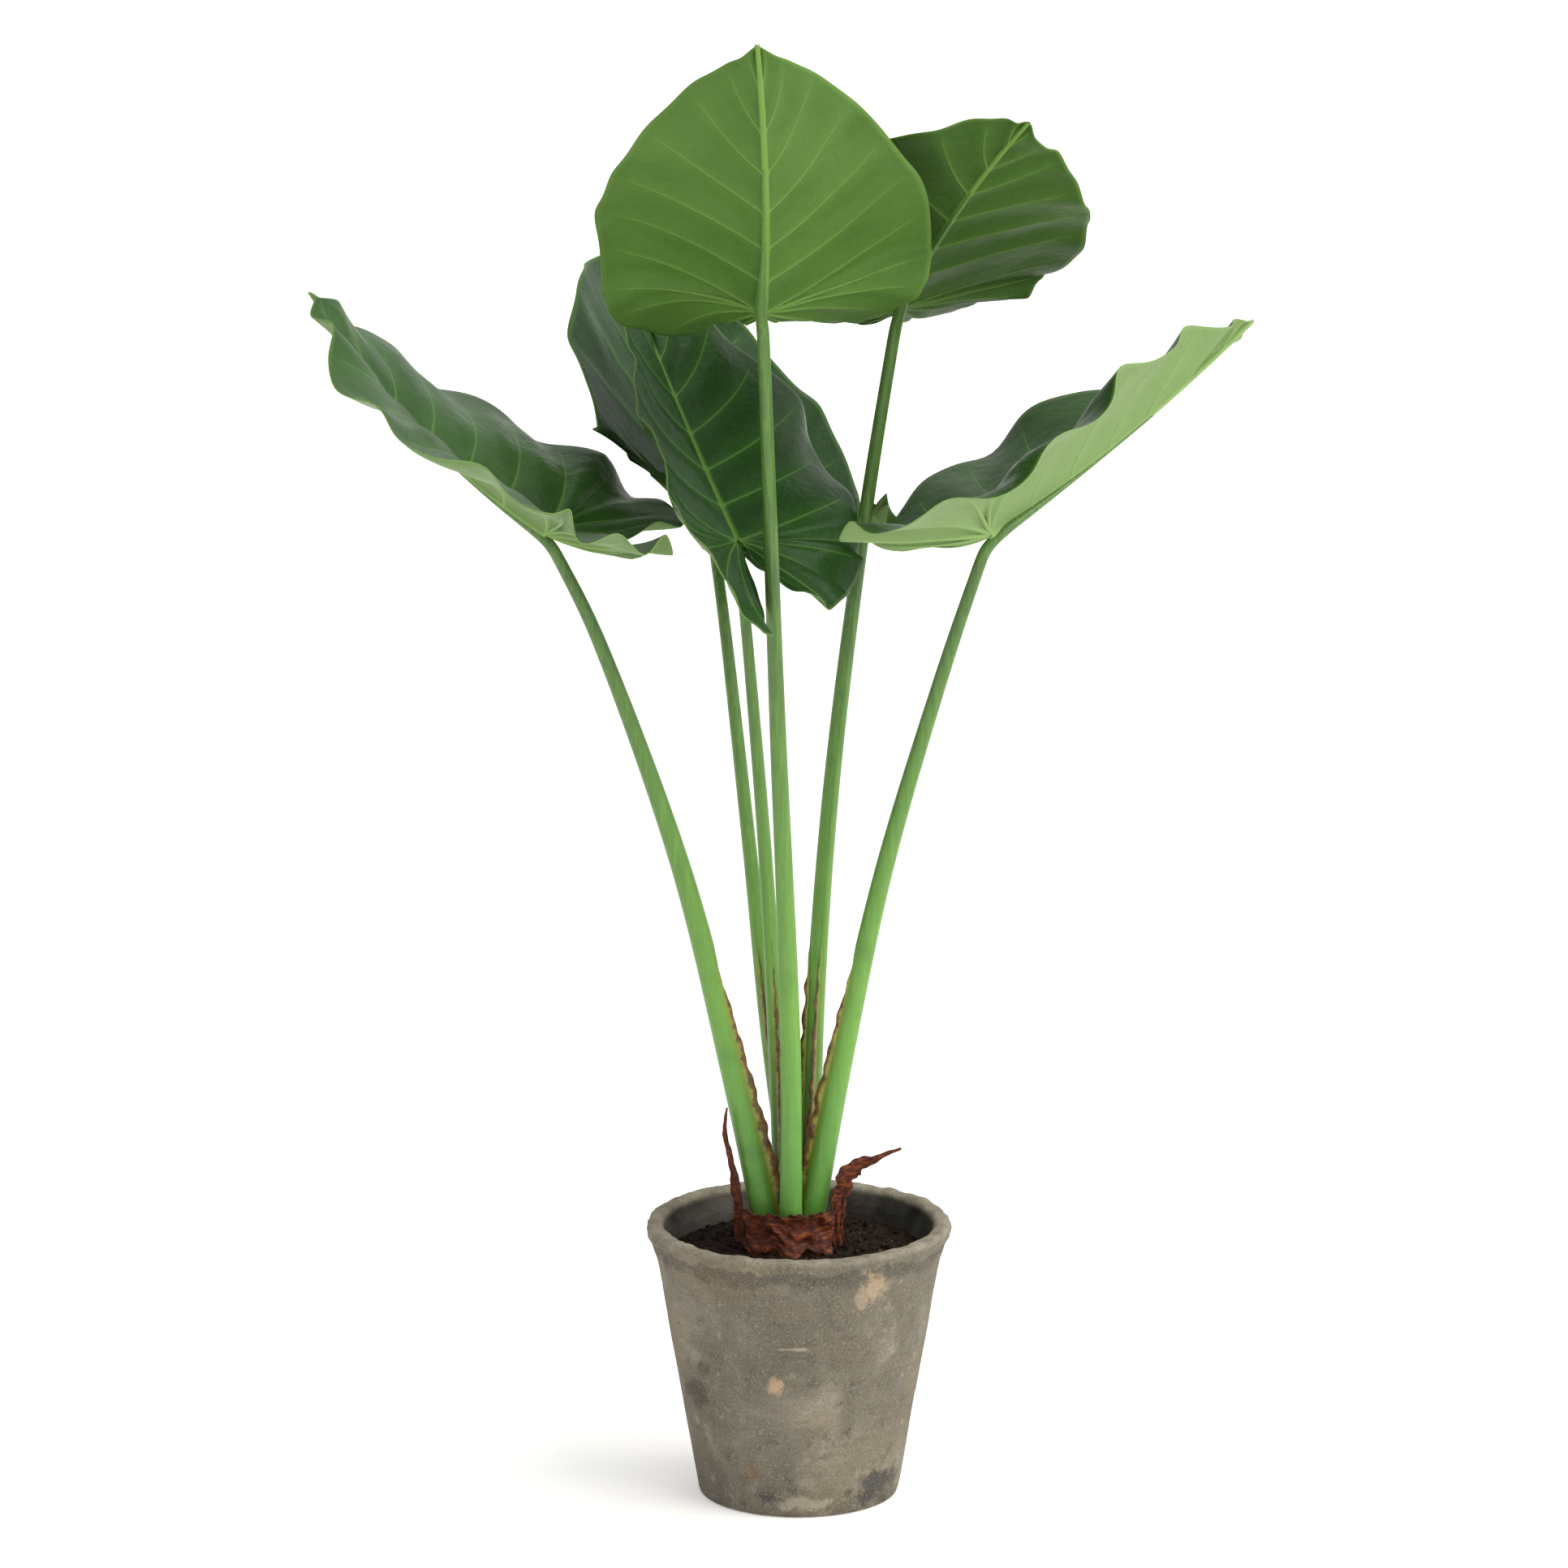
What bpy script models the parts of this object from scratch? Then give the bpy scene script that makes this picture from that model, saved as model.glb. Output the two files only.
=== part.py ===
"""Potted alocasia: six arrow-shaped leaves on tall stalks, in a weathered clay pot.

Run with Blender 4.5. Units are metres, +Z is up and the origin is the centre of the pot's foot.
"""

from math import cos, radians, sin, tau

import bmesh
import bpy
import numpy as np
from mathutils import Vector
from mathutils.bvhtree import BVHTree

# Clay pot
RIM_RADIUS = 0.125
POT_HEIGHT = 0.230
FOOT_RADIUS = 0.083
NECK_RADIUS = 0.115
NECK_HEIGHT = 0.191
MOUTH_RADIUS = 0.111
WELL_RADIUS = 0.070
FLOOR = 0.014
LIP_ROUND = 0.004  # height of the rounded inner lip
BAND_DEPTH = 0.0035  # how far the wall draws in below the rim band
POT_STEPS = 48
DRAIN_RADIUS = 0.007
DRAIN_CIRCLE = 0.040
DRAIN_COUNT = 3

# Soil, and the stem base that it holds
GAP = 0.0004
SOIL_EDGE = 0.203
SOIL_CROWN = 0.211
CROWN_RADIUS = 0.070
SLOPE_RADIUS = 0.092
SLOPE_DROP = 0.003
CORM_CENTRE = (-0.008, 0.003, 0.0)
CORM_RADIUS = 0.037
CORM_FOOT = 0.130
CORM_TOP = 0.215

# Dried sheath pieces
SHEATH_WALL = 0.0014
WRAP_RADIUS = 0.0425
WRAP_FLARE = 0.005
WRAP_TOP = 0.249
WRAP_SPAN = 94

# Leaf blades and stalks
BLADE_WALL = 0.0016
RIDGE_WALL = 0.0042
BLADE_ROWS = 30
BLADE_COLUMNS = 10
STALK_POINTS = 14
STALK_TAPER = 1.2
STALK_CLEARANCE = 0.0006
STALK_UPRIGHT = 0.006

# Half outline of a blade, from its tip round a lobe to the notch behind the stalk. Across is in half
# widths. Along is in blade lengths in front of the stalk, and in lobe lengths behind it.
HALF_OUTLINE = (
    (0.00, 1.00), (0.10, 0.955), (0.36, 0.845), (0.68, 0.66), (0.91, 0.42), (1.00, 0.16), (0.97, -0.16),
    (0.84, -0.52), (0.62, -0.85), (0.42, -1.00), (0.25, -0.90), (0.13, -0.62), (0.05, -0.30), (0.00, -0.12),
)
KNEE = 5 / 13  # how far round the outline the vein that leaves the stalk sideways ends

# Each leaf: where its stalk joins the blade, the blade's attitude there in degrees (heading about Z from
# +X, rise above level, roll about the midrib), its lengths, and how the sheet bends. A pair is the
# blade's (left, right) half, seen from above with the tip ahead.
#   arch, sweep, twist  total bend of the midrib down, to the right and about itself
#   lobe_arch, lobe_splay  total bend of each lobe up and outwards
#   fold, fold_tip, fold_lobe  how steeply each half rises from the midrib, at the stalk, tip and lobes
#   curl, rim  how much steeper it gets towards the edge, evenly and at the edge alone
#   shoulder  extra width towards the tip; ruffle, waves, phase  the wavy edge
LEAVES = {
    "a": dict(
        joint=(-0.029, -0.090, 0.999), heading=-87, rise=38, roll=-4,
        length=0.305, width=(0.148, 0.135), lobe=(0.090, 0.090), shoulder=(-0.12, 0.12),
        arch=-24, sweep=6, twist=6, lobe_arch=(55, 59), lobe_splay=(-5, 25),
        fold=(30, 30), fold_tip=(30, 20), fold_lobe=(-1, -5),
        curl=(8, -25), rim=(-25, -25),
        ruffle=(0.0028, 0.0043), waves=(4.7, 5.1), phase=(0.46, 0.52),
    ),
    "b": dict(
        joint=(0.081, 0.075, 0.978), heading=-68, rise=42, roll=-17,
        length=0.300, width=(0.141, 0.140), lobe=(0.090, 0.110), shoulder=(-0.07, 0.00),
        arch=10, sweep=-6, twist=-4, lobe_arch=(58, 60), lobe_splay=(-5, 0),
        fold=(30, 8), fold_tip=(0, 5), fold_lobe=(23, 8),
        curl=(-6, -5), rim=(-3, -1),
        ruffle=(0.0044, 0.0041), waves=(6.6, 5.9), phase=(0.24, 0.66),
    ),
    "c": dict(
        joint=(0.153, -0.030, 0.810), heading=41, rise=20, roll=-45,
        length=0.315, width=(0.150, 0.130), lobe=(0.130, 0.117), shoulder=(0.30, -0.20),
        arch=-8, sweep=15, twist=12, lobe_arch=(95, 56), lobe_splay=(20, 30),
        fold=(25, 18), fold_tip=(7, 45), fold_lobe=(48, 4),
        curl=(37, -40), rim=(-16, -8),
        ruffle=(0.0087, 0.0070), waves=(8.4, 8.6), phase=(0.19, 0.71),
    ),
    "d": dict(
        joint=(-0.203, -0.030, 0.811), heading=173, rise=33, roll=-5,
        length=0.271, width=(0.155, 0.155), lobe=(0.130, 0.085), shoulder=(0.30, 0.30),
        arch=-25, sweep=2, twist=-6, lobe_arch=(51, 62), lobe_splay=(-4, 30),
        fold=(40, 31), fold_tip=(21, -5), fold_lobe=(35, 18),
        curl=(-50, -50), rim=(45, 21),
        ruffle=(0.0081, 0.0058), waves=(9.1, 8.9), phase=(0.03, 0.45),
    ),
    "e": dict(
        joint=(-0.049, -0.010, 0.801), heading=117, rise=39, roll=11,
        length=0.250, width=(0.120, 0.120), lobe=(0.099, 0.085), shoulder=(-0.20, 0.25),
        arch=-18, sweep=-10, twist=-10, lobe_arch=(-9, 20), lobe_splay=(20, -10),
        fold=(11, 27), fold_tip=(32, 8), fold_lobe=(18, 6),
        curl=(35, -35), rim=(9, -11),
        ruffle=(0.0031, 0.0056), waves=(6.5, 7.9), phase=(0.73, 1.18),
    ),
    "f": dict(
        joint=(-0.074, 0.135, 0.800), heading=109, rise=35, roll=5,
        length=0.300, width=(0.150, 0.130), lobe=(0.080, 0.095), shoulder=(0.16, 0.00),
        arch=-6, sweep=4, twist=10, lobe_arch=(80, 0), lobe_splay=(-20, 0),
        fold=(28, 10), fold_tip=(29, 10), fold_lobe=(31, 10),
        curl=(24, 0), rim=(-19, 0),
        ruffle=(0.0049, 0.0050), waves=(7.1, 7.0), phase=(0.39, 0.87),
    ),
}

# Each stalk: the centre of its foot on the stem base, points on the way up, and its radius at both ends
STALK_FOOT = CORM_TOP + GAP
STALKS = {
    "a": dict(
        foot=(-0.0065, -0.027, STALK_FOOT),
        route=((-0.007, -0.038, 0.400), (-0.017, -0.056, 0.655), (-0.024, -0.074, 0.857)),
        base=0.0095, top=0.0050,
    ),
    "b": dict(
        foot=(0.010, 0.016, STALK_FOOT),
        route=((0.013, 0.024, 0.390), (0.027, 0.039, 0.590), (0.053, 0.062, 0.800)),
        base=0.0090, top=0.0050,
    ),
    "c": dict(
        foot=(0.0065, -0.006, STALK_FOOT),
        route=((0.033, -0.012, 0.361), (0.069, -0.014, 0.530), (0.116, -0.017, 0.694)),
        base=0.0118, top=0.0050,
    ),
    "d": dict(
        foot=(-0.0215, -0.003, STALK_FOOT),
        route=((-0.053, -0.006, 0.359), (-0.096, -0.010, 0.533), (-0.158, -0.015, 0.712)),
        base=0.0135, top=0.0050,
    ),
    "e": dict(
        foot=(-0.012, 0.019, STALK_FOOT),
        route=((-0.018, 0.017, 0.367), (-0.026, 0.011, 0.519), (-0.038, 0.005, 0.676)),
        base=0.0080, top=0.0045,
    ),
    "f": dict(
        foot=(-0.002, 0.034, STALK_FOOT),
        route=((-0.024, 0.042, 0.373), (-0.040, 0.054, 0.529), (-0.060, 0.092, 0.705)),
        base=0.0080, top=0.0045,
    ),
}

# The two dried strips that stand beside the stalks
CURLS = {
    "sheath_left": dict(
        route=(
            (-0.0465, -0.008, SOIL_CROWN + 0.001), (-0.0475, -0.009, 0.240), (-0.0510, -0.011, 0.268),
            (-0.0570, -0.014, 0.294), (-0.0600, -0.017, 0.312), (-0.0585, -0.019, 0.331),
        ),
        half_widths=(0.009, 0.008, 0.007, 0.005, 0.003, 0.0008), facing=(-1, -0.5, 0), cup=0.3,
    ),
    "sheath_right": dict(
        route=(
            (0.0325, -0.016, SOIL_CROWN + 0.001), (0.0320, -0.018, 0.240), (0.0365, -0.020, 0.262),
            (0.0445, -0.021, 0.279), (0.0620, -0.021, 0.288), (0.0840, -0.020, 0.297),
        ),
        half_widths=(0.006, 0.006, 0.008, 0.008, 0.003, 0.0008), facing=(0.4, -0.9, 0), cup=-0.2,
    ),
}


def eased(low, high, value):
    """A smooth step from 0 at low to 1 at high."""
    part = np.clip((value - low) / (high - low), 0, 1)
    return part * part * (3 - 2 * part)


def curve_through(points, count):
    """A Catmull-Rom curve through the points, read at even steps."""
    points = np.array(points, float)
    ends = (2 * points[:1] - points[1:2], 2 * points[-1:] - points[-2:-1])
    knots = np.vstack((ends[0], points, ends[1]))
    place = np.linspace(0, len(points) - 1, count)
    start = np.minimum(place.astype(int), len(points) - 2)
    part = (place - start)[:, None]
    a, b, c, d = (knots[start + step] for step in range(4))
    slope = c - a
    bend = 2 * a - 5 * b + 4 * c - d
    twist = 3 * b - a - 3 * c + d
    return b + 0.5 * (slope * part + bend * part**2 + twist * part**3)


def turned(vector, axis, angle):
    """The vector turned about a unit axis."""
    along = axis * (axis @ vector) * (1 - cos(angle))
    return vector * cos(angle) + np.cross(axis, vector) * sin(angle) + along


def blade_axes(leaf):
    """Unit vectors at the stalk: along the midrib, up from the upper face, and to the right."""
    heading, rise, roll = (radians(leaf[key]) for key in ("heading", "rise", "roll"))
    along = np.array((cos(heading) * cos(rise), sin(heading) * cos(rise), sin(rise)))
    level_up = np.array((-cos(heading) * sin(rise), -sin(heading) * sin(rise), cos(rise)))
    up = level_up * cos(roll) + np.cross(along, level_up) * sin(roll)
    return along, up, np.cross(along, up)


def bent_line(axes, length, arch, sweep, twist, steps=24):
    """A line that bends evenly: its distances, and the place and three axes at each."""
    along, up, right = axes
    place = np.zeros(3)
    stations = [(0.0, place, along, up, right)]
    for step in range(1, steps + 1):
        new_along = turned(along, right, -radians(arch) / steps)
        up = turned(up, right, -radians(arch) / steps)
        new_along = turned(new_along, up, -radians(sweep) / steps)
        up = turned(up, new_along, radians(twist) / steps)
        right = turned(turned(right, up, -radians(sweep) / steps), new_along, radians(twist) / steps)
        place = place + (along + new_along) * length / steps / 2
        along = new_along
        stations.append((step * length / steps, place, along, up, right))
    return stations


def read_line(stations, distance):
    """The place, up and right axes at each distance along a bent line."""
    known = np.array([station[0] for station in stations])
    read = []
    for item in (1, 3, 4):
        values = np.array([station[item] for station in stations])
        read.append(np.stack([np.interp(distance, known, values[:, axis]) for axis in range(3)], -1))
    return read


def half_blade(leaf, half, across, round_edge):
    """Points of one half. Across runs 0 to 1 from midrib to edge, round_edge 0 to 1 from tip to notch."""
    side = (-1, 1)[half]
    length, lobe, width = leaf["length"], leaf["lobe"][half], leaf["width"][half]
    outline = curve_through(HALF_OUTLINE, 1301)
    share = np.linspace(0, 1, len(outline))
    edge_x = np.interp(round_edge, share, outline[:, 0])
    edge_y = np.interp(round_edge, share, outline[:, 1])
    edge_x = edge_x * width * (1 + leaf["shoulder"][half] * eased(0.1, 0.65, edge_y))
    edge_y = edge_y * np.where(edge_y > 0, length, lobe)
    root_y = length * np.clip(1 - round_edge / KNEE, 0, 1)
    bow = eased(0, 0.1, round_edge) * (1 - eased(KNEE, KNEE + 0.2, round_edge))
    x = across * edge_x
    y = root_y + (edge_y - root_y) * across - 0.12 * length * across * (1 - across) * bow

    axes = blade_axes(leaf)
    front = bent_line(axes, length, leaf["arch"], leaf["sweep"], leaf["twist"])
    back_axes = (-axes[0], axes[1], axes[2])
    back = bent_line(back_axes, lobe, leaf["lobe_arch"][half], side * leaf["lobe_splay"][half], 0)
    ahead = read_line(front, np.clip(y, 0, None))
    behind = read_line(back, np.clip(-y, 0, None))
    place, up, right = (np.where(y[:, None] < 0, b, a) for a, b in zip(ahead, behind))

    tip_part, lobe_part = np.clip(y / length, 0, 1), np.clip(-y / lobe, 0, 1)
    base = leaf["fold"][half]
    fold = base + (leaf["fold_tip"][half] - base) * tip_part + (leaf["fold_lobe"][half] - base) * lobe_part
    steps = 12
    level, lift = np.zeros_like(x), np.zeros_like(x)
    for step in range(steps):
        part = (step + 0.5) / steps * x / width
        angle = np.radians(fold + leaf["curl"][half] * part + leaf["rim"][half] * part**3)
        level += np.cos(angle) * x / steps
        lift += np.sin(angle) * x / steps
    part = x / width
    angle = np.radians(fold + leaf["curl"][half] * part + leaf["rim"][half] * part**3)[:, None]
    normal = up * np.cos(angle) - side * right * np.sin(angle)
    wave = np.sin(tau * (leaf["waves"][half] * round_edge + leaf["phase"][half]))
    quiet = eased(0, 0.1, round_edge) * eased(0, 0.12, 1 - round_edge)
    wave = wave * leaf["ruffle"][half] * across**2.2 * quiet
    sheet_point = leaf["joint"] + place + side * right * level[:, None] + up * lift[:, None]
    return sheet_point + normal * wave[:, None]


def blade_points(leaf, u, v):
    """Points of the sheet for u from -1 (left edge) to 1 (right edge) and v from -1 (notch) to 1 (tip)."""
    across, round_edge = np.abs(u), (1 - v) / 2
    left = half_blade(leaf, 0, across, round_edge)
    right = half_blade(leaf, 1, across, round_edge)
    seam = np.where(round_edge > 0.9999, 0.5, np.where(u < 0, 0.0, 1.0))[:, None]
    return left * (1 - seam) + right * seam


def principled(name, colour, roughness):
    """A plain material in one linear colour."""
    material = bpy.data.materials.new(name)
    material.use_nodes = True
    shader = material.node_tree.nodes["Principled BSDF"]
    shader.inputs["Base Color"].default_value = (*colour, 1.0)
    shader.inputs["Roughness"].default_value = roughness
    shader.inputs["Metallic"].default_value = 0.0
    return material


def placed(name, mesh, collection, material):
    """A new object for a mesh or curve, in the collection and with its material."""
    thing = bpy.data.objects.new(name, mesh)
    collection.objects.link(thing)
    thing.data.materials.append(material)
    return thing


def turned_shape(name, profile, collection, material, steps):
    """A solid of revolution. The profile runs from the axis at the top, down the outside, to the axis."""
    mesh = bpy.data.meshes.new(name)
    edges = [(i, i + 1) for i in range(len(profile) - 1)]
    mesh.from_pydata([(radius, 0.0, height) for radius, height in profile], edges, [])
    thing = placed(name, mesh, collection, material)
    screw = thing.modifiers.new("Screw", "SCREW")
    screw.steps = screw.render_steps = steps
    screw.use_merge_vertices = True
    screw.merge_threshold = 0.00001
    return thing


def cut(thing, cutter, name):
    """Takes the cutter's shape out of the thing."""
    boolean = thing.modifiers.new(name, "BOOLEAN")
    boolean.operation = "DIFFERENCE"
    boolean.solver = "EXACT"
    boolean.object = cutter
    cutter.hide_render = True
    cutter.display_type = "WIRE"


def sheet(name, columns, rows, place, collection, material, wall, offset):
    """A thin solid: a grid whose points place(u, v) sets, given a wall. Points that meet are merged."""
    grid = bmesh.new()
    bmesh.ops.create_grid(grid, x_segments=columns, y_segments=rows, size=1)
    u = np.array([vertex.co.x for vertex in grid.verts])
    v = np.array([vertex.co.y for vertex in grid.verts])
    for vertex, point in zip(grid.verts, place(u, v)):
        vertex.co = point
    bmesh.ops.remove_doubles(grid, verts=grid.verts, dist=0.00002)
    mesh = bpy.data.meshes.new(name)
    grid.to_mesh(mesh)
    grid.free()
    thing = placed(name, mesh, collection, material)
    solidify = thing.modifiers.new("Wall", "SOLIDIFY")
    solidify.thickness = wall
    solidify.offset = offset
    return thing


def pot_profile():
    """The clay pot: rim and mouth, flared neck, tapered side, foot, and the well inside."""
    return (
        (MOUTH_RADIUS, POT_HEIGHT - LIP_ROUND),
        (MOUTH_RADIUS + 0.002, POT_HEIGHT - 0.001),
        (MOUTH_RADIUS + 0.005, POT_HEIGHT),
        (RIM_RADIUS - 0.003, POT_HEIGHT),
        (RIM_RADIUS - 0.0005, POT_HEIGHT - 0.002),
        (RIM_RADIUS, POT_HEIGHT - 0.005),
        (RIM_RADIUS - 0.0005, POT_HEIGHT - 0.010),
        (RIM_RADIUS - BAND_DEPTH, POT_HEIGHT - 0.015),
        (RIM_RADIUS - 0.0055, POT_HEIGHT - 0.022),
        (RIM_RADIUS - 0.0078, POT_HEIGHT - 0.029),
        (NECK_RADIUS, NECK_HEIGHT),
        (FOOT_RADIUS, 0.004),
        (FOOT_RADIUS - 0.001, 0.001),
        (FOOT_RADIUS - 0.004, 0.0),
        (0.0, 0.0),
    )


def well_radius(height):
    """Radius of the pot's inside at a height."""
    share = (height - FLOOR) / (POT_HEIGHT - LIP_ROUND - FLOOR)
    return WELL_RADIUS + (MOUTH_RADIUS - WELL_RADIUS) * share


def make_pot(collection, cutters, material):
    profile = ((0.0, FLOOR), (WELL_RADIUS, FLOOR)) + pot_profile()
    pot = turned_shape("clay_pot", profile, collection, material, POT_STEPS)
    for number in range(DRAIN_COUNT):
        turn = tau * number / DRAIN_COUNT
        rod = bmesh.new()
        bmesh.ops.create_cone(
            rod, cap_ends=True, segments=16, radius1=DRAIN_RADIUS, radius2=DRAIN_RADIUS, depth=3 * FLOOR
        )
        mesh = bpy.data.meshes.new("drain_drill")
        rod.to_mesh(mesh)
        rod.free()
        drill = placed(f"drain_drill_{number + 1}", mesh, cutters, material)
        drill.location = (DRAIN_CIRCLE * cos(turn), DRAIN_CIRCLE * sin(turn), FLOOR / 2)
        cut(pot, drill, f"Drain {number + 1}")


def corm_profile(spare):
    """The stem base, swollen below its flat top. Spare is how far the shape is grown."""
    return (
        (0.0, CORM_TOP + spare),
        (CORM_RADIUS + spare, CORM_TOP + spare),
        (CORM_RADIUS + 0.002 + spare, CORM_TOP - 0.014),
        (CORM_RADIUS + 0.001 + spare, CORM_TOP - 0.035),
        (CORM_RADIUS - 0.007 + spare, CORM_FOOT + 0.012),
        (CORM_RADIUS - 0.017 + spare, CORM_FOOT - spare),
        (0.0, CORM_FOOT - spare),
    )


def make_soil_and_corm(collection, cutters, soil_material, corm_material):
    profile = (
        (0.0, SOIL_CROWN),
        (CROWN_RADIUS, SOIL_CROWN),
        (SLOPE_RADIUS, SOIL_CROWN - SLOPE_DROP),
        (well_radius(SOIL_EDGE) - GAP, SOIL_EDGE),
        (WELL_RADIUS - GAP, FLOOR + GAP),
        (0.0, FLOOR + GAP),
    )
    soil = turned_shape("potting_soil", profile, collection, soil_material, POT_STEPS)
    corm = turned_shape("corm", corm_profile(0.0), collection, corm_material, 28)
    corm.location = CORM_CENTRE
    pocket = turned_shape("corm_pocket", corm_profile(GAP), cutters, corm_material, 28)
    pocket.location = CORM_CENTRE
    cut(soil, pocket, "Pocket")


def make_blade(name, leaf, collection, material):
    """A blade: its midrib stands out as a ridge from the lower face."""

    def place(u, v):
        return blade_points(leaf, np.sign(u) * np.abs(u) ** 1.25, v)

    blade = sheet(name, BLADE_COLUMNS, BLADE_ROWS, place, collection, material, RIDGE_WALL, -1.0)
    ridge = blade.vertex_groups.new(name="ridge")
    midrib = [leaf_line(leaf, part) for part in np.linspace(0, 1, 61)]
    for vertex in blade.data.vertices:
        off = min((vertex.co - point).length for point in midrib)
        ridge.add([vertex.index], 1.0 if off < 0.004 else 0.0, "REPLACE")
    solidify = blade.modifiers["Wall"]
    solidify.vertex_group = "ridge"
    solidify.thickness_vertex_group = BLADE_WALL / RIDGE_WALL
    return blade


def leaf_line(leaf, part):
    """A point of the midrib, part of the way from the stalk to the tip."""
    return Vector(blade_points(leaf, np.zeros(1), np.array([1 - 2 * KNEE * (1 - part)]))[0])


def stalk_line(stalk, joint, share):
    """Points and radii of a stalk, from its flat foot up to a share of its length."""
    foot = np.array(stalk["foot"])
    points = curve_through((foot, *stalk["route"], joint), 241)[: int(241 * share)]
    reach = np.concatenate(([0], np.cumsum(np.linalg.norm(np.diff(points, axis=0), axis=1))))
    even = np.linspace(STALK_UPRIGHT * 5, reach[-1], STALK_POINTS)
    points = np.stack([np.interp(even, reach, points[:, axis]) for axis in range(3)], -1)
    points = np.vstack((foot, foot + (0, 0, STALK_UPRIGHT), points))
    even = np.concatenate(((0, STALK_UPRIGHT), even))
    left = (1 - even / reach[-1]) ** STALK_TAPER
    return points, stalk["top"] + (stalk["base"] - stalk["top"]) * left


def blade_tree(blade):
    """The blade's finished surface, for measuring distances to it."""
    graph = bpy.context.evaluated_depsgraph_get()
    return BVHTree.FromObject(blade, graph)


def make_stalk(name, stalk, leaf, blade, collection, material):
    """A tapered stalk that ends just under its blade."""
    tree = blade_tree(blade)
    share = 1.0
    points, radii = stalk_line(stalk, np.array(leaf["joint"]), share)
    while tree.find_nearest(Vector(points[-1]))[3] < radii[-1] + STALK_CLEARANCE:
        share -= 0.004
        points, radii = stalk_line(stalk, np.array(leaf["joint"]), share)
    curve = bpy.data.curves.new(name, "CURVE")
    curve.dimensions = "3D"
    curve.bevel_depth = 1.0
    curve.bevel_resolution = 2
    curve.use_fill_caps = True
    line = curve.splines.new("POLY")
    line.points.add(len(points) - 1)
    for point, place, radius in zip(line.points, points, radii):
        point.co = (*place, 1.0)
        point.radius = radius
    return placed(name, curve, collection, material)


def make_wrap(collection, material):
    """The dried sheath that wraps the front of the stem base, flared at its top."""
    foot = SOIL_CROWN + GAP

    def place(u, v):
        turn = radians(-90) + radians(WRAP_SPAN / 2) * u
        rise = (v + 1) / 2
        radius = WRAP_RADIUS + WRAP_FLARE * rise + 0.0008 * np.sin(9 * turn)
        height = foot + (WRAP_TOP - foot) * rise
        x = CORM_CENTRE[0] + radius * np.cos(turn)
        y = CORM_CENTRE[1] + radius * np.sin(turn)
        return np.stack((x, y, height), -1)

    sheet("sheath_front", 14, 5, place, collection, material, SHEATH_WALL, 1.0)


def make_curl(name, strip, collection, material):
    """A dried strip that stands up and curls away. Facing is the way that its face looks."""
    facing = np.array(strip["facing"]) / np.linalg.norm(strip["facing"])
    half_widths = strip["half_widths"]

    def place(u, v):
        rise = (v + 1) / 2
        line = curve_through(strip["route"], 101)
        slope = np.gradient(line, axis=0)
        steps = np.arange(101)
        spot = np.stack([np.interp(rise * 100, steps, line[:, axis]) for axis in range(3)], -1)
        along = np.stack([np.interp(rise * 100, steps, slope[:, axis]) for axis in range(3)], -1)
        side = np.cross(along, facing)
        side /= np.linalg.norm(side, axis=1)[:, None]
        half = np.interp(rise, np.linspace(0, 1, len(half_widths)), half_widths)[:, None]
        return spot + side * half * u[:, None] + facing * strip["cup"] * half * (u**2)[:, None]

    sheet(name, 4, 16, place, collection, material, SHEATH_WALL, 0.0)


def cleared_scene():
    """Removes the scene's objects and gives a collection for the parts and one for the cutters."""
    for thing in list(bpy.data.objects):
        bpy.data.objects.remove(thing, do_unlink=True)
    made = []
    for name in ("Potted alocasia", "Cutters"):
        collection = bpy.data.collections.new(name)
        bpy.context.scene.collection.children.link(collection)
        made.append(collection)
    return made


def main():
    parts, cutters = cleared_scene()
    clay = principled("weathered clay", (0.20, 0.18, 0.155), 0.9)
    soil = principled("dark compost", (0.012, 0.008, 0.005), 0.95)
    stem = principled("stem base", (0.16, 0.09, 0.03), 0.8)
    blade_green = principled("leaf green", (0.035, 0.12, 0.018), 0.35)
    stalk_green = principled("stalk green", (0.13, 0.33, 0.035), 0.4)
    dried = principled("dried sheath", (0.22, 0.065, 0.015), 0.8)
    make_pot(parts, cutters, clay)
    make_soil_and_corm(parts, cutters, soil, stem)
    for letter, leaf in LEAVES.items():
        blade = make_blade(f"blade_{letter}", leaf, parts, blade_green)
        make_stalk(f"petiole_{letter}", STALKS[letter], leaf, blade, parts, stalk_green)
    make_wrap(parts, dried)
    for name, strip in CURLS.items():
        make_curl(name, strip, parts, dried)


main()
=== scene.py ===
"""Potted alocasia: the looks of each piece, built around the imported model.

Run as a script with Blender 4.5. Units are metres, +Z is up, and the origin is the centre of the
pot's foot.
"""

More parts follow.
